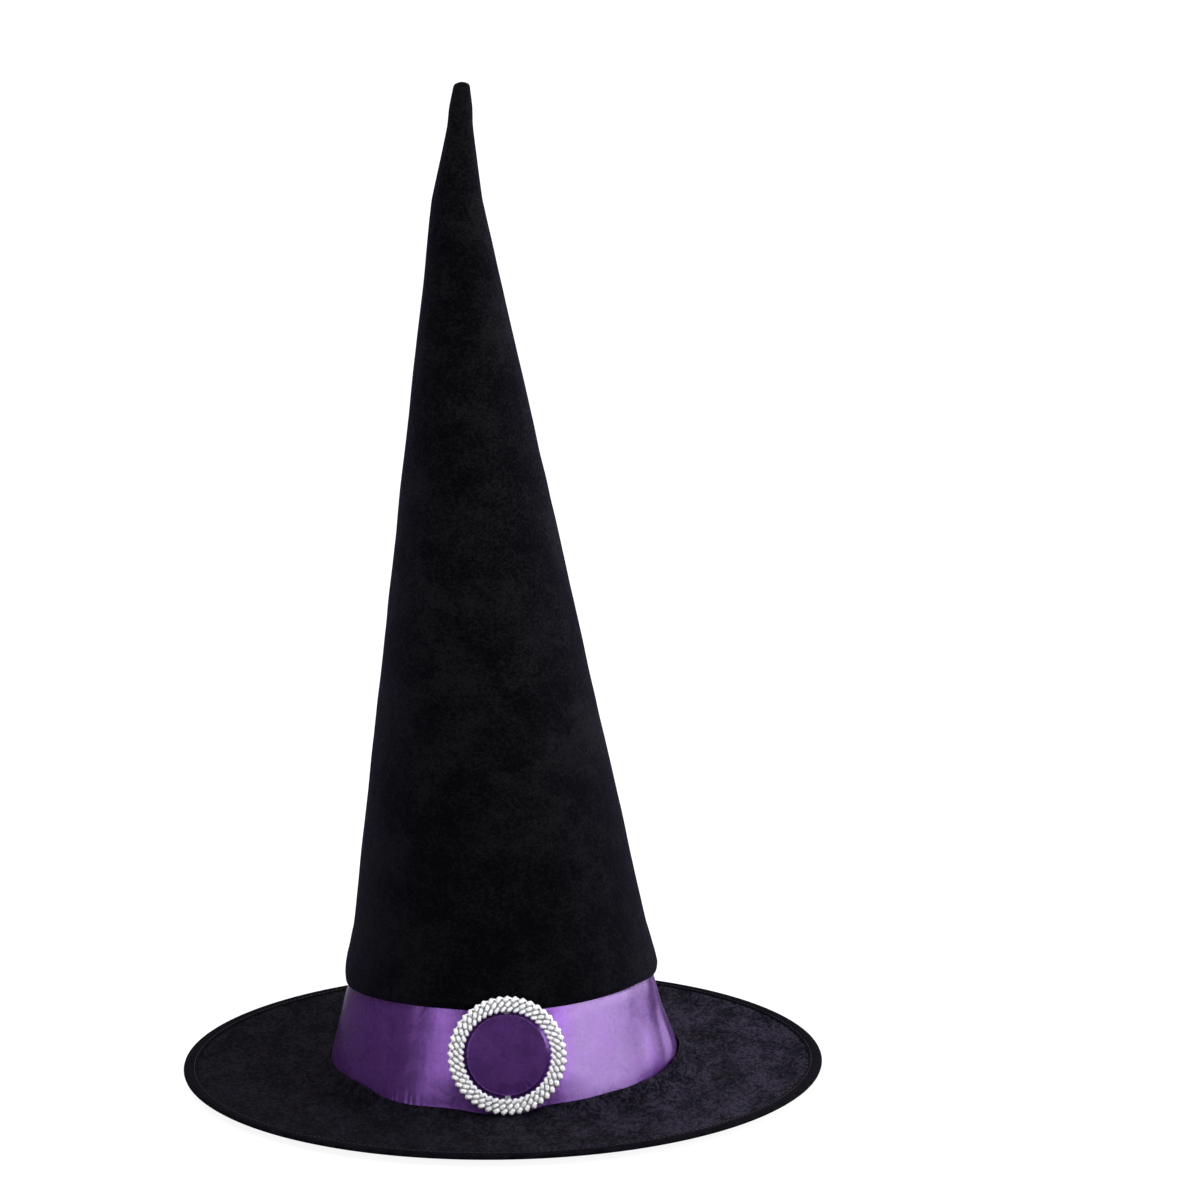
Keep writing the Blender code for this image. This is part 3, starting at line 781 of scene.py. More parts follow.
# ------------------------------------------------------------------------- brim
def ring_grid(profile, columns, bend=None):
    """Grid for a closed (r, z) section turned about Z."""
    a = np.linspace(0, 2 * pi, columns, endpoint=False)
    P = np.zeros((len(profile), columns, 3))
    for k, (r, z) in enumerate(profile):
        for j in range(columns):
            rr, zz = (r, z) if bend is None else bend(r, z, a[j], k)
            P[k, j] = (rr * cos(a[j]), rr * sin(a[j]), zz)
    return P


def ring_cloth(P, centre_r):
    """Along-and-across coordinates for a turned grid."""
    ang = np.arctan2(P[:, :, 1], P[:, :, 0])
    r = np.hypot(P[:, :, 0], P[:, :, 1])
    across = np.concatenate([[0.0], np.cumsum(np.hypot(np.diff(r[:, 0]), np.diff(P[:, 0, 2])))])
    return np.stack([ang * centre_r, np.repeat(across[:, None], P.shape[1], 1), np.zeros_like(r)], 2)


def brim_lift(r, a, amount=1.0):
    """Slow rise and fall of the brim's cloth."""
    p = (r * cos(a), r * sin(a), 0.0)
    return amount * (0.00022 * wobble(p, 0.040, 4.4) + 0.00013 * wobble(p, 0.012, 8.2)
                     + 0.00007 * wobble(p, 0.0052, 2.6))


# the cloth rises in a small fillet where it meets the band
FILLET = [(-180, .0045), (-120, .0050), (-90, .0064), (-73, .0070), (-60, .0072), (-50, .0060), (-43, .0036),
          (-34, .0024), (-25, .0028), (-20, .0029), (-14, .0026), (-9, .0014), (-4, .0004), (2, .0003), (6, .0008),
          (10, .0026), (14, .0042), (18, .0047), (24, .0049), (30, .0054), (37, .0060), (46, .0060),
          (53, .0064), (63, .0070), (75, .0098),
          (88, .0106), (108, .0078), (130, .0052)]
top_r = np.concatenate([[BRIM_HOLE_R, 0.0980, 0.0995, 0.1004, 0.1009, 0.1012, 0.1014, 0.1016, 0.1018, 0.1021,
                         0.1025, 0.1030, 0.1036, 0.1043, 0.1051, 0.1060, 0.1070, 0.1082, 0.1096, 0.1112,
                         0.1130, 0.1150], np.linspace(0.1166, 0.1796, 40)])
profile = [(r, TOP_Z1 + dish(r)) for r in top_r] + [(r, TOP_Z0 + dish(r)) for r in top_r[::-6]] \
    + [(BRIM_HOLE_R, TOP_Z0)]


def band_flare(deg, z):
    """How far the band swings out above its foot at the right-hand side."""
    around = float(smoothstep(50.0, 78.0, deg)) * float(smoothstep(130.0, 100.0, deg))
    return 0.0026 * around * float(smoothstep(0.0045, 0.0115, z)) * float(smoothstep(0.0400, 0.0125, z))


def band_room(r, a):
    """The brim's cloth is pushed out by the flare and by the band's overlapped join."""
    deg = degrees(wrap(a + pi / 2))
    right = float(smoothstep(50.0, 60.0, deg)) * float(smoothstep(135.0, 120.0, deg))
    join = float(smoothstep(0.0130, 0.0070, abs(wrap(a - BACK)) * 0.101))
    return 0.0010 * max(right, join) * float(smoothstep(0.0998, 0.1010, r)) * float(smoothstep(0.1065, 0.1020, r))


def fillet(r, a):
    """Height of the brim's rise beside the band."""
    out = max(r - 0.1017, 0.0)
    near = exp(-(out / 0.0050) ** 1.15) * float(smoothstep(0.0200, 0.0080, out))
    tuck = float(smoothstep(0.1010, 0.1016, r))
    deg = degrees(wrap(a + pi / 2))
    crumple = 0.00035 * exp(-((deg + 38) / 14.0) ** 2) * sin(a * 150 + 2.5 * wobble((cos(a) * 9, sin(a) * 9, 0), 0.7, 1.0))
    crumple += 0.00025 * wobble((cos(a) * 10, sin(a) * 10, 0), 0.8, 12.0)
    rise = max(float(round_about(wrap(a + pi / 2), FILLET)[0]) + crumple, 0.0)
    return rise * near * tuck


def top_bend(r, z, a, k):
    if k < len(top_r):
        edge = float(smoothstep(0.1800, 0.1740, r)) * float(smoothstep(0.0965, 0.1010, r))
        tuck = -0.00018 * float(smoothstep(0.1745, 0.1775, r))
        rise = fillet(r, a)
        # the crest leans in with the band, and out again where the band flares
        swing = band_flare(degrees(wrap(a + pi / 2)), float(z) + rise) + band_room(r, a)
        return r - 0.2485 * rise + swing, float(z) + brim_lift(r, a) * edge + tuck + rise
    return r, float(z)


P = ring_grid(profile, 300, top_bend)
brim_top = shell("brim_top_velvet_cloth", P, BRIM_VELVET)
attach(brim_top, BODIES[0])
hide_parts("brim_top_velvet")

under_r = np.concatenate([np.linspace(0.1800, 0.1735, 9), np.linspace(0.1720, BRIM_HOLE_R, 34)])


def edge_rise(r):
    return EDGE_LIFT * np.clip((r - EDGE_LIFT_R0) / (EDGE_LIFT_R1 - EDGE_LIFT_R0), 0.0, 1.0)


inner_r = np.concatenate([np.linspace(BRIM_HOLE_R, 0.1720, 8), np.linspace(0.1735, 0.1800, 9)])
profile = [(r, edge_rise(r) + dish(r)) for r in under_r] \
    + [(r, UNDERSIDE_T + edge_rise(r) + dish(r)) for r in inner_r]


def under_bend(r, z, a, k):
    if k < len(under_r):
        # faint pulls run outward from the head opening
        pull = (0.5 + 0.5 * sin(34 * a + 2.0 * wobble((cos(a), sin(a), 0), 0.4))) * \
            float(smoothstep(0.128, 0.099, r)) * float(smoothstep(0.0966, 0.0985, r))
        lift = 0.00016 * pull + max(0.0, brim_lift(r, a, 0.8))
        edge = float(smoothstep(0.1805, 0.1760, r))
        return r, float(z) + min(lift, 0.00025) * edge
    return r, float(z)


P = ring_grid(profile, 272, under_bend)
under = shell("brim_underside_cloth", P, UNDERSIDE)
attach(under, BODIES[0])
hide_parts("brim_underside")

# binding: tape folded over the edge, a little puffed between its stitches and the fold
ri = BRIM_R - BINDING_LAP
MID = 0.5 * (EDGE_LIFT + TOP_Z1)
loop = [(ri, MID + 0.00095), (ri + 0.0004, MID + 0.00140), (ri + 0.0012, MID + 0.00134),
        (ri + 0.0022, MID + 0.00156), (ri + 0.0038, MID + 0.00166), (ri + 0.0054, MID + 0.00150),
        (BRIM_R - 0.0010, MID + 0.00112), (BRIM_R - 0.0002, MID + 0.00060), (BRIM_R, MID),
        (BRIM_R - 0.0002, MID - 0.00060), (BRIM_R - 0.0010, MID - 0.00112), (ri + 0.0054, MID - 0.00150),
        (ri + 0.0022, MID - 0.00150), (ri + 0.0012, MID - 0.00132), (ri + 0.0004, MID - 0.00140),
        (ri, MID - 0.00095)]
outside = curve_through(loop, 0.0007)
inside = [(ri + 0.0002, MID - 0.00090), (ri + 0.0050, MID - 0.00100), (BRIM_R - 0.0012, MID - 0.00070),
          (BRIM_R - 0.0012, MID + 0.00070), (ri + 0.0050, MID + 0.00100), (ri + 0.0002, MID + 0.00090)]
profile = [(r, z + dish(r)) for r, z in outside + inside]


def binding_bend(r, z, a, k):
    z = float(z)
    if k >= len(outside):
        return r, z
    p = (cos(a), sin(a), 0.0)
    up = 1.0 if z > MID + dish(r) else -1.0
    inner = float(smoothstep(BRIM_R - 0.001, ri + 0.002, r))
    ease = 0.00009 * wobble(p, 0.10, 3.3 * up) + 0.00007 * wobble(p, 0.035, 6.1)
    # the inner edge isn't quite a true circle
    r += -inner * float(smoothstep(ri + 0.0016, ri, r)) * (0.0003 + 0.00035 * wobble(p, 0.16, 1.1 + up))
    pucker = 0.00004 * sin(a * 350) * float(smoothstep(ri + 0.003, ri + 0.0010, r))
    return r, z + up * (ease * inner + pucker)


P = ring_grid(profile, 700, binding_bend)
binding = shell("brim_binding_tape", P, TAPE, sharp=60.0)
cloth_coord(binding, ring_cloth(P, BRIM_R))
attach(binding, BODIES[0])
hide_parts("brim_edge_binding")


def stitch(m, p, along, up, length, width):
    """One sewn stitch: a short thread that dips in at both ends."""
    along = along.normalized()
    up = (up - along * up.dot(along)).normalized()
    side = along.cross(up)
    rows = []
    for t, w, h in ((-0.5, 0.45, -0.30), (-0.30, 0.95, 0.35), (0.0, 1.0, 0.62), (0.30, 0.95, 0.35),
                    (0.5, 0.45, -0.30)):
        c = p + along * (t * length) + up * (h * width)
        rows.append([c + (side * cos(q) + up * sin(q)) * (w * width)
                     for q in np.linspace(0, 2 * pi, 6, endpoint=False)])
    v = [x for row in rows for x in row]
    f = [[k * 6 + j, k * 6 + (j + 1) % 6, (k + 1) * 6 + (j + 1) % 6, (k + 1) * 6 + j]
         for k in range(4) for j in range(6)]
    f += [[5, 4, 3, 2, 1, 0], [24 + j for j in range(6)]]
    m.add([tuple(x) for x in v], f)


m = Merge()
count = 350
for j in range(count):
    a = 2 * pi * j / count
    w = wobble((cos(a), sin(a), 0), 0.12, 5.0)
    r = ri + 0.0012 + 0.00012 * w
    t = Vector((-sin(a), cos(a), 0.05 * wobble((j * 0.7, 0, 0), 1.0)))
    stitch(m, Vector((r * cos(a), r * sin(a), MID + 0.00134 + float(dish(r)))), t, Vector((0, 0, 1)), 0.0021, 0.00018)
    stitch(m, Vector((r * cos(a), r * sin(a), MID - 0.00132 + float(dish(r)))), t, Vector((0, 0, -1)), 0.0021, 0.00018)
ob = m.object("brim_binding_stitches", THREAD)
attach(ob, BODIES[0])


# ------------------------------------------------------------------- sweatband
def sweat_r(z):
    t = (z - 0.0048) / (0.0360 - 0.0048)
    wall = lerp(WALL_R0, WALL_R1, (0.0360 - WALL_Z0) / (WALL_Z1 - WALL_Z0))
    return lerp(0.0955, wall - VELVET_T - LINING_T - 0.0006, max(t, 0.0))


zs = [0.0360, 0.0352, 0.0340, 0.0320, 0.0280, 0.0240, 0.0200, 0.0160, 0.0120, 0.0090, 0.0066,
      0.0050, 0.0038, 0.0026, 0.0015]
profile = [(sweat_r(z) - 0.0010, z) for z in zs] + [(sweat_r(z), z) for z in (0.0015, 0.0050, 0.0200, 0.0360)]
RIBS = 400


def sweat_bend(r, z, a, k):
    if k < len(zs):
        b = wrap(a - BACK) * 0.093
        rib = 0.00013 * (1 - abs(((a * RIBS / (2 * pi)) % 1.0) * 2 - 1)) * float(smoothstep(0.0356, 0.0345, z))
        edge = -0.00022 * exp(-((z - 0.0330) / 0.0008) ** 2)
        ease = 0.00035 * wobble((cos(a), sin(a), z * 9), 0.30, 6.6) * float(smoothstep(0.0, 0.012, z))
        lap = -0.0007 * float(smoothstep(-0.0002, 0.0006, b)) * float(smoothstep(0.0125, 0.0119, b))
        return r - rib - edge + min(ease, 0.0001) + lap, z
    return r, z


P = ring_grid(profile, RIBS * 4, sweat_bend)
sweat = shell("sweatband_ribbon", P, GROSGRAIN, sharp=70.0)
cloth_coord(sweat, ring_cloth(P, 0.093))
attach(sweat, BODIES[0])
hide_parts("sweatband")

# stitches that hold the sweatband at its foot
m = Merge()
for j in range(190):
    a = 2 * pi * j / 190
    r = sweat_r(0.0062) - 0.00118
    stitch(m, Vector((r * cos(a), r * sin(a), 0.0062)), Vector((-sin(a), cos(a), 0.25)),
           Vector((-cos(a), -sin(a), 0.0)), 0.0021, 0.00018)
ob = m.object("sweatband_stitches", THREAD)
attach(ob, BODIES[0])

# ------------------------------------------------------------------ satin band
SLOPE = (BAND_R1 - BAND_R0) / (BAND_Z1 - BAND_Z0)
NB = 760
band_a = np.linspace(0, 2 * pi, NB, endpoint=False) + BACK
band_front = np.array([wrap(a + pi / 2) for a in band_a])
band_lip = lip_z(band_front)
band_t = np.concatenate([np.linspace(0, 0.16, 9), np.linspace(0.18, 0.90, 20), np.linspace(0.93, 1.0, 4)])


def band_point(j, t, thick):
    a, f = band_a[j], band_front[j]
    foot = BAND_Z0 + 0.00020 * wobble((cos(a) * 8, sin(a) * 8, 0), 0.8, 2.0) + 0.0002
    top = min(band_lip[j] + 0.0034, 0.0645)
    z = lerp(foot, top, t)
    r = max(BAND_R0 + SLOPE * (z - BAND_Z0), 0.0868)
    thick = min(thick, 0.0009 - 0.0005 * float(smoothstep(0.0440, 0.0500, z)))
    deg = degrees(f)
    # long soft waves in the ribbon
    u = 0.00028 * wobble((cos(a) * 5, sin(a) * 5, z * 14), 0.8, 3.7)
    u += 0.00005 * wobble((cos(a) * 16, sin(a) * 16, z * 60), 0.9, 8.9)
    # small puckers where the foot is caught down, mostly left of the buckle
    near = exp(-((z - foot) / 0.0055) ** 2)
    caught = 0.25 + exp(-((deg + 36) / 9.0) ** 2) + 0.5 * exp(-((deg + 62) / 8.0) ** 2) \
        + 0.45 * exp(-((deg - 70) / 10.0) ** 2)
    ripple = sin(a * 150 + 5.0 * wobble((cos(a) * 9, sin(a) * 9, 0), 0.7, 1.0))
    ripple *= max(0.0, 0.6 + 1.2 * wobble((cos(a) * 13, sin(a) * 13, 0), 0.6, 6.0))
    u += 0.00015 * near * caught * ripple
    u -= 0.00030 * near
    u -= 0.00035 * exp(-((top - 0.0035 - z) / 0.0030) ** 2)
    # drawn a little forward beside the buckle
    side = abs(deg - 1.5)
    pull = 0.0010 * float(smoothstep(36.0, 18.0, side)) * float(smoothstep(0.066, 0.050, z)) \
        * float(smoothstep(0.0030, 0.0240, z))
    px, py = (r + pull) * cos(a), (r + pull) * sin(a)
    plane_y = BUCKLE_Y + (z - BUCKLE_Z) * tan(radians(9.95))
    room = (py - plane_y) - 0.0014
    if side < 30 and room < 0:
        pull = max(pull + room, 0.0)
    # overlapped join at the back
    b = wrap(a - BACK) * 0.094
    lap = 0.0007 * float(smoothstep(-0.0062, -0.0054, b)) * float(smoothstep(0.0064, 0.0056, b))
    # a soft upright fold near the right-hand side
    off = deg - 69.0 - 200.0 * (z - 0.012)
    fold = 0.0004 * exp(-(off / 3.4) ** 2) - 0.0007 * exp(-((off - 7.0) / 4.0) ** 2) \
        - 0.0004 * exp(-((off + 8.0) / 6.0) ** 2)
    fold *= float(smoothstep(0.005, 0.018, z)) * float(smoothstep(0.060, 0.050, z))
    r += u + pull + lap - fold + band_flare(deg, z)
    # the top edge goes in under the roll of velvet
    r -= max(r - 0.0877, 0.0) * float(smoothstep(band_lip[j] - 0.0050, band_lip[j] - 0.0004, z))
    r -= thick
    return (r * cos(a), r * sin(a), z)


outer = np.array([[band_point(j, t, 0.0) for j in range(NB)] for t in band_t])
inner = np.array([[band_point(j, t, 0.0009) for j in range(NB)] for t in band_t[[32, 30, 28, 24, 20, 16, 12, 8, 0]]])
P = np.concatenate([outer, inner])
band = shell("hat_band_satin", P, SATIN, surface_normals(outer), len(outer), 50.0)
arc = np.unwrap(band_a) * 0.094
coord = np.zeros((len(P), NB, 3))
coord[:, :, 0] = arc[None, :]
coord[:, :, 1] = P[:, :, 2]
coord[len(outer):, :, 2] = 0.01
cloth_coord(band, coord)
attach(band, BODIES[0])
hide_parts("hat_band")

# the satin inside the buckle, drawn forward over the bar and gathered at its rim
PR = 0.0240
NP = 192
rad = np.concatenate([np.linspace(0.0010, 0.0195, 22), np.linspace(0.0202, PR, 12)])


def panel_z(r, a):
    # gathers, strongest at the upper right, the right and the lower right
    gather = 0.05 + 0.9 * exp(-((wrap(a - 1.15)) / 0.36) ** 2) + 0.6 * exp(-((wrap(a + 0.95)) / 0.40) ** 2) \
        + 0.4 * exp(-((wrap(a - 0.1)) / 0.30) ** 2) + 0.2 * exp(-((wrap(a + 2.0)) / 0.4) ** 2)
    w = sin(a * 46 + 3.5 * wobble((cos(a) * 3, sin(a) * 3, 0), 0.6, 4.0))
    w += 0.6 * wobble((cos(a) * 14, sin(a) * 14, r * 40), 0.8, 1.0)
    dome = 0.00125 - 0.0012 * (r / PR) ** 4 - 0.0030 * float(smoothstep(0.0222, 0.0243, r))
    u = 0.00020 * gather * w * float(smoothstep(0.0140, 0.0225, r))
    u += 0.00010 * wobble((r * cos(a), r * sin(a), 0), 0.009, 3.0)
    return dome + u


pa = np.linspace(0, 2 * pi, NP, endpoint=False)
front = np.array([[(r * cos(a), r * sin(a), panel_z(r, a)) for a in pa] for r in rad])
back = np.array([[(r * cos(a), r * sin(a), min(panel_z(r, a) - 0.0006, -0.0002)
                   if r < 0.022 else panel_z(r, a) - 0.0006) for a in pa] for r in rad[::-3]])
local = np.concatenate([front, back])
v = local.reshape(-1, 3)
K = len(local)
f = ring_faces(K, NP, close_k=False).tolist()
f.append([int(j) for j in range(NP)][::-1])
f.append([int((K - 1) * NP + j) for j in range(NP)])
world = np.array([tuple(BUCKLE @ Vector(p)) for p in v])
panel = build("buckle_satin_panel", world, f, SATIN, None, 50.0)
bm = bmesh.new()
bm.from_mesh(panel.data)
bmesh.ops.recalc_face_normals(bm, faces=bm.faces[:])
bm.to_mesh(panel.data)
bm.free()
cloth_coord(panel, v)
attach(panel, BODIES[0])

# ---------------------------------------------------------------------- buckle
STONES = 45
SLANT = radians(46.0)    # of the stones, away from straight out, turning clockwise
STEP = 0.00285 * tan(SLANT) / 0.0287 / (2 * pi / STONES)
ROWS3 = [("rhinestones_inner_row", 0.02585, -STEP), ("rhinestones_middle_row", 0.02870, 0.0),
         ("rhinestones_outer_row", 0.03155, STEP)]


def scallop(a, phase):
    c = abs(cos((a * STONES / 2) - phase * pi))
    return c ** 0.7


cols = STONES * 10
profile = []
section = [(1, 0.0000), (1, 0.0006), (1, 0.0014), (0.9, 0.0019), (0.72, 0.0022), (0.4, 0.0018),
           (0.0, 0.0018), (-0.4, 0.0018), (-0.72, 0.0022), (-0.9, 0.0019), (-1, 0.0014), (-1, 0.0006),
           (-1, 0.0000)]
P = np.zeros((len(section), cols, 3))
for k, (s, z) in enumerate(section):
    for j in range(cols):
        a = 2 * pi * j / cols
        outer_r = 0.0318 + 0.0010 * scallop(a, STEP + 0.22)
        inner_r = 0.02570 - 0.0011 * scallop(a, -STEP - 0.22)
        mid, half = 0.5 * (outer_r + inner_r), 0.5 * (outer_r - inner_r)
        r = mid + s * half
        P[k, j] = tuple(BUCKLE @ Vector((r * cos(a), r * sin(a), z)))
plate = shell("buckle_plate", P, SILVER, sharp=45.0)
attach(plate, BODIES[0])
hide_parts("buckle_ring")


def brilliant(m, M, R, base, girdle, table, spin):
    """A cut stone: table, star and main facets, and a short body below the girdle."""
    v = []
    for q in range(8):
        t = 2 * pi * (q + 0.5) / 8 + spin
        v.append(M @ Vector((0.52 * R * cos(t), 0.52 * R * sin(t), table)))
    for q in range(8):
        t = 2 * pi * q / 8 + spin
        v.append(M @ Vector((0.80 * R * cos(t), 0.80 * R * sin(t), lerp(girdle, table, 0.62))))
    for q in range(16):
        t = 2 * pi * q / 16 + spin
        v.append(M @ Vector((R * cos(t), R * sin(t), girdle)))
    for q in range(16):
        t = 2 * pi * q / 16 + spin
        v.append(M @ Vector((0.62 * R * cos(t), 0.62 * R * sin(t), base)))
    f = [[q for q in range(8)]]
    for q in range(8):
        f.append([8 + q, q, (q + 7) % 8])                                 # star facets
        a0, a1 = 16 + 2 * q, 16 + (2 * q + 1) % 16
        am = 16 + (2 * q + 15) % 16
        f.append([8 + q, a0, a1])
        f.append([8 + q, am, a0])
        f.append([8 + q, a1, q])
        f.append([8 + (q + 1) % 8, q, a1])
    for q in range(16):
        q2 = (q + 1) % 16
        f.append([16 + q, 32 + q, 32 + q2, 16 + q2])
    f.append([32 + q for q in range(16)][::-1])
    m.add([tuple(x) for x in v], f)


def cup(m, M, R, z0, z1, spin):
    v, f = [], []
    for r, z in ((R + 0.00020, z0), (R + 0.00022, z1 - 0.00012), (R + 0.00010, z1),
                 (R - 0.00012, z1 - 0.00005), (R - 0.00016, z0)):
        for q in range(12):
            t = 2 * pi * q / 12 + spin
            v.append(M @ Vector((r * cos(t), r * sin(t), z)))
    for k in range(5):
        k2 = (k + 1) % 5
        for q in range(12):
            q2 = (q + 1) % 12
            f.append([k * 12 + q, k * 12 + q2, k2 * 12 + q2, k2 * 12 + q])
    m.add([tuple(x) for x in v], f)


def bead(m, M, c, r):
    """A small claw that grips the stone."""
    v = [M @ (Vector(c) + Vector(d) * r) for d in
         ((1, 0, 0), (0.7, 0.7, 0), (0, 1, 0), (-0.7, 0.7, 0), (-1, 0, 0), (-0.7, -0.7, 0), (0, -1, 0),
          (0.7, -0.7, 0), (0.5, 0.5, 0.7), (-0.5, 0.5, 0.7), (-0.5, -0.5, 0.7), (0.5, -0.5, 0.7), (0, 0, -1.4))]
    f = [[8, 9, 10, 11], [0, 1, 8], [1, 2, 8], [2, 9, 8], [2, 3, 9], [3, 4, 9], [4, 10, 9], [4, 5, 10],
         [5, 6, 10], [6, 11, 10], [6, 7, 11], [7, 0, 11], [0, 8, 11]]
    f += [[12, (q + 1) % 8, q] for q in range(8)]
    m.add([tuple(x) for x in v], f)


setting = Merge()
rng = np.random.RandomState(11)
for name, radius, phase in ROWS3:
    m = Merge()
    for s in range(STONES):
        a = 2 * pi * (s - phase) / STONES
        # the chain of stones starts and ends at the foot of the ring, not quite in step
        foot = exp(-(wrap(a + pi / 2) / 0.05) ** 2)
        a += 0.012 * foot
        r = radius - 0.0003 * foot
        tilt = Matrix.Rotation(float(rng.uniform(-0.10, 0.10)), 4, 'X') @ Matrix.Rotation(
            float(rng.uniform(-0.10, 0.10)), 4, 'Y')
        M = BUCKLE @ Matrix.Translation((r * cos(a), r * sin(a), 0.0)) @ Matrix.Rotation(a, 4, 'Z')
        wide = radius / 0.0287
        M = M @ Matrix.Rotation(-SLANT, 4, 'Z') @ Matrix.Diagonal((1.36, 0.86 * wide, 1.0, 1.0))
        S = M @ Matrix.Translation((0, 0, 0.0030)) @ tilt @ Matrix.Translation((0, 0, -0.0030))
        R = 0.00134
        brilliant(m, S, R, 0.0018, 0.0031, 0.0043, float(rng.uniform(0, 0.8)))
        cup(setting, M, R, 0.0016, 0.0031, 0.13)
        for q in range(4):
            t = pi / 4 + q * pi / 2
            bead(setting, M, (1.02 * R * cos(t), 1.02 * R * sin(t), 0.0031), 0.00030)
    ob = m.object(name + "_cut", STONE, flat=True)
    bm = bmesh.new()
    bm.from_mesh(ob.data)
    bmesh.ops.recalc_face_normals(bm, faces=bm.faces[:])
    bm.to_mesh(ob.data)
    bm.free()
    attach(ob, BODIES[0])
    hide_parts(name)
ob = setting.object("buckle_settings", SILVER, sharp=50.0)
bm = bmesh.new()
bm.from_mesh(ob.data)
bmesh.ops.recalc_face_normals(bm, faces=bm.faces[:])
bm.to_mesh(ob.data)
bm.free()
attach(ob, BODIES[0])

# ------------------------------------------------ carried-over parts' materials
for name, node in NODES.items():
    if name.startswith("armature_wire") or name == "brim_edge_wire":
        mat = STEEL
    elif name == "buckle_bar":
        mat = SILVER
    elif name in ("brim_core", "crown_collar"):
        mat = FELT
    else:
        continue
    node.data.materials.clear()
    node.data.materials.append(mat)

# ------------------------------------------------------- floor, light and camera
fm = Nodes("pale_floor")
grain = fm.noise(fm.where(), 0.05, 2.0, 0.5)
fm.set(color=fm.mix(fm.remap(grain, 0.3, 0.7, 0.0, 1.0), (0.19, 0.19, 0.19), (0.20, 0.20, 0.20)),
       rough=0.95, specular=0.0)
fm.p.inputs["Emission Color"].default_value = (1.0, 1.0, 1.0, 1.0)
fm.p.inputs["Emission Strength"].default_value = 0.90
me = bpy.data.meshes.new("floor")
me.from_pydata([(-40, -40, -0.0010), (40, -40, -0.0010), (40, 40, -0.0010), (-40, 40, -0.0010)], [], [(0, 1, 2, 3)])
me.materials.append(fm.material)
floor = bpy.data.objects.new("floor", me)
scene.collection.objects.link(floor)
floor.visible_glossy = False

# a pale dome far behind everything, so that no view shows a horizon
bmat = Nodes("pale_backdrop")
bmat.set(color=(0.2, 0.2, 0.2), rough=1.0, specular=0.0)
bmat.p.inputs["Emission Color"].default_value = (1.0, 1.0, 1.0, 1.0)
bmat.p.inputs["Emission Strength"].default_value = 1.1
dome_v = [(20.0 * cos(e) * cos(a), 20.0 * cos(e) * sin(a), 20.0 * sin(e) - 0.001)
          for e in np.linspace(0.0, radians(86.0), 12) for a in np.linspace(0, 2 * pi, 48, endpoint=False)]
dome_f = ring_faces(12, 48, close_k=False).tolist() + [[11 * 48 + j for j in range(48)]]
me = bpy.data.meshes.new("backdrop")
me.from_pydata([tuple(map(float, p)) for p in dome_v], [], dome_f)
me.materials.append(bmat.material)
backdrop = bpy.data.objects.new("backdrop", me)
scene.collection.objects.link(backdrop)
for ray in ("visible_diffuse", "visible_glossy", "visible_transmission", "visible_shadow", "visible_volume_scatter"):
    setattr(backdrop, ray, False)

world = bpy.data.worlds.new("studio")
scene.world = world
world.use_nodes = True
wt = world.node_tree
for nd in list(wt.nodes):
    wt.nodes.remove(nd)
coord = wt.nodes.new("ShaderNodeTexCoord")
sepx = wt.nodes.new("ShaderNodeSeparateXYZ")
wt.links.new(coord.outputs["Generated"], sepx.inputs[0])


def world_ramp(value, a, b, c, d):
    n = wt.nodes.new("ShaderNodeMapRange")
    n.interpolation_type = 'SMOOTHSTEP'
    wt.links.new(value, n.inputs["Value"])
    for k, x in zip(("From Min", "From Max", "To Min", "To Max"), (a, b, c, d)):
        n.inputs[k].default_value = x
    return n.outputs[0]


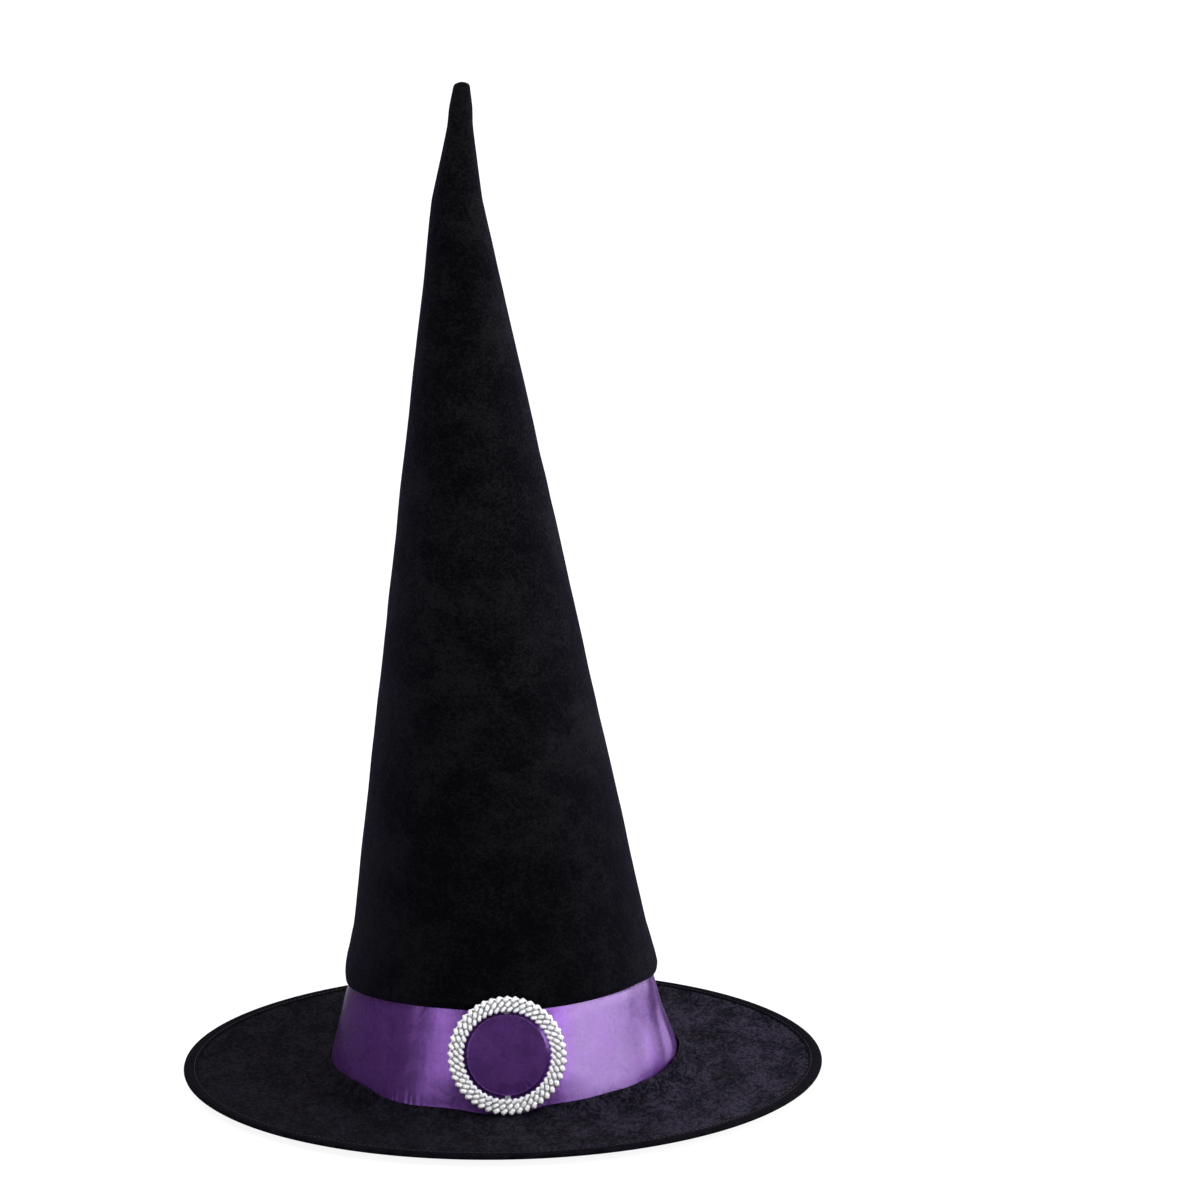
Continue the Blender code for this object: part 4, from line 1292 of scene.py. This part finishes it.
high = world_ramp(sepx.outputs["Z"], 0.50, 0.92, 0.0, 2.15)
rear = world_ramp(sepx.outputs["Y"], 0.90, 1.0, 0.09, 0.60)
add = wt.nodes.new("ShaderNodeMath")
add.operation = 'ADD'
wt.links.new(high, add.inputs[0])
wt.links.new(rear, add.inputs[1])
bg = wt.nodes.new("ShaderNodeBackground")
bg.inputs["Color"].default_value = (1.0, 1.0, 1.0, 1.0)
wt.links.new(add.outputs[0], bg.inputs["Strength"])
wout = wt.nodes.new("ShaderNodeOutputWorld")
wt.links.new(bg.outputs[0], wout.inputs[0])


def softbox(name, azimuth, elevation, distance, width, height, radiance, aim=(0, 0, 0.12)):
    """Area light; azimuth is from the front (-Y) towards +X."""
    d = Vector((sin(radians(azimuth)) * cos(radians(elevation)),
                -cos(radians(azimuth)) * cos(radians(elevation)), sin(radians(elevation))))
    li = bpy.data.lights.new(name, 'AREA')
    li.shape = 'RECTANGLE'
    li.size, li.size_y = width, height
    li.energy = pi * width * height * radiance
    ob = bpy.data.objects.new(name, li)
    ob.location = Vector(aim) + d * distance
    ob.rotation_mode = 'QUATERNION'
    ob.rotation_quaternion = d.to_track_quat('Z', 'Y')
    ob.visible_camera = False
    scene.collection.objects.link(ob)
    return ob


softbox("key_right", 74, 14, 1.7, 2.85, 0.9, 4.4)
softbox("fill_left", -45, 14, 1.9, 0.90, 0.9, 2.4)
softbox("rim_right", 128, 9, 1.8, 0.90, 0.9, 1.7)

cam_data = bpy.data.cameras.new("camera")
cam = bpy.data.objects.new("camera", cam_data)
scene.collection.objects.link(cam)
eye, aim = Vector((0.0, -2.5, 0.7575)), Vector((0.0, 0.0, 0.3050))
fwd = (aim - eye).normalized()
right = fwd.cross(Vector((0, 0, 1))).normalized()
up = right.cross(fwd)
roll_angle = -0.01594
cx = right * cos(roll_angle) + up * sin(roll_angle)
cy = right * -sin(roll_angle) + up * cos(roll_angle)
cam.matrix_world = Matrix.Translation(eye) @ Matrix((cx, cy, -fwd)).transposed().to_4x4()
cam_data.lens = 133.96
cam_data.sensor_width = 36.0
cam_data.shift_x, cam_data.shift_y = 0.0878, -0.0416
cam_data.clip_start, cam_data.clip_end = 0.05, 200.0
scene.camera = cam
scene.view_settings.view_transform = 'Standard'
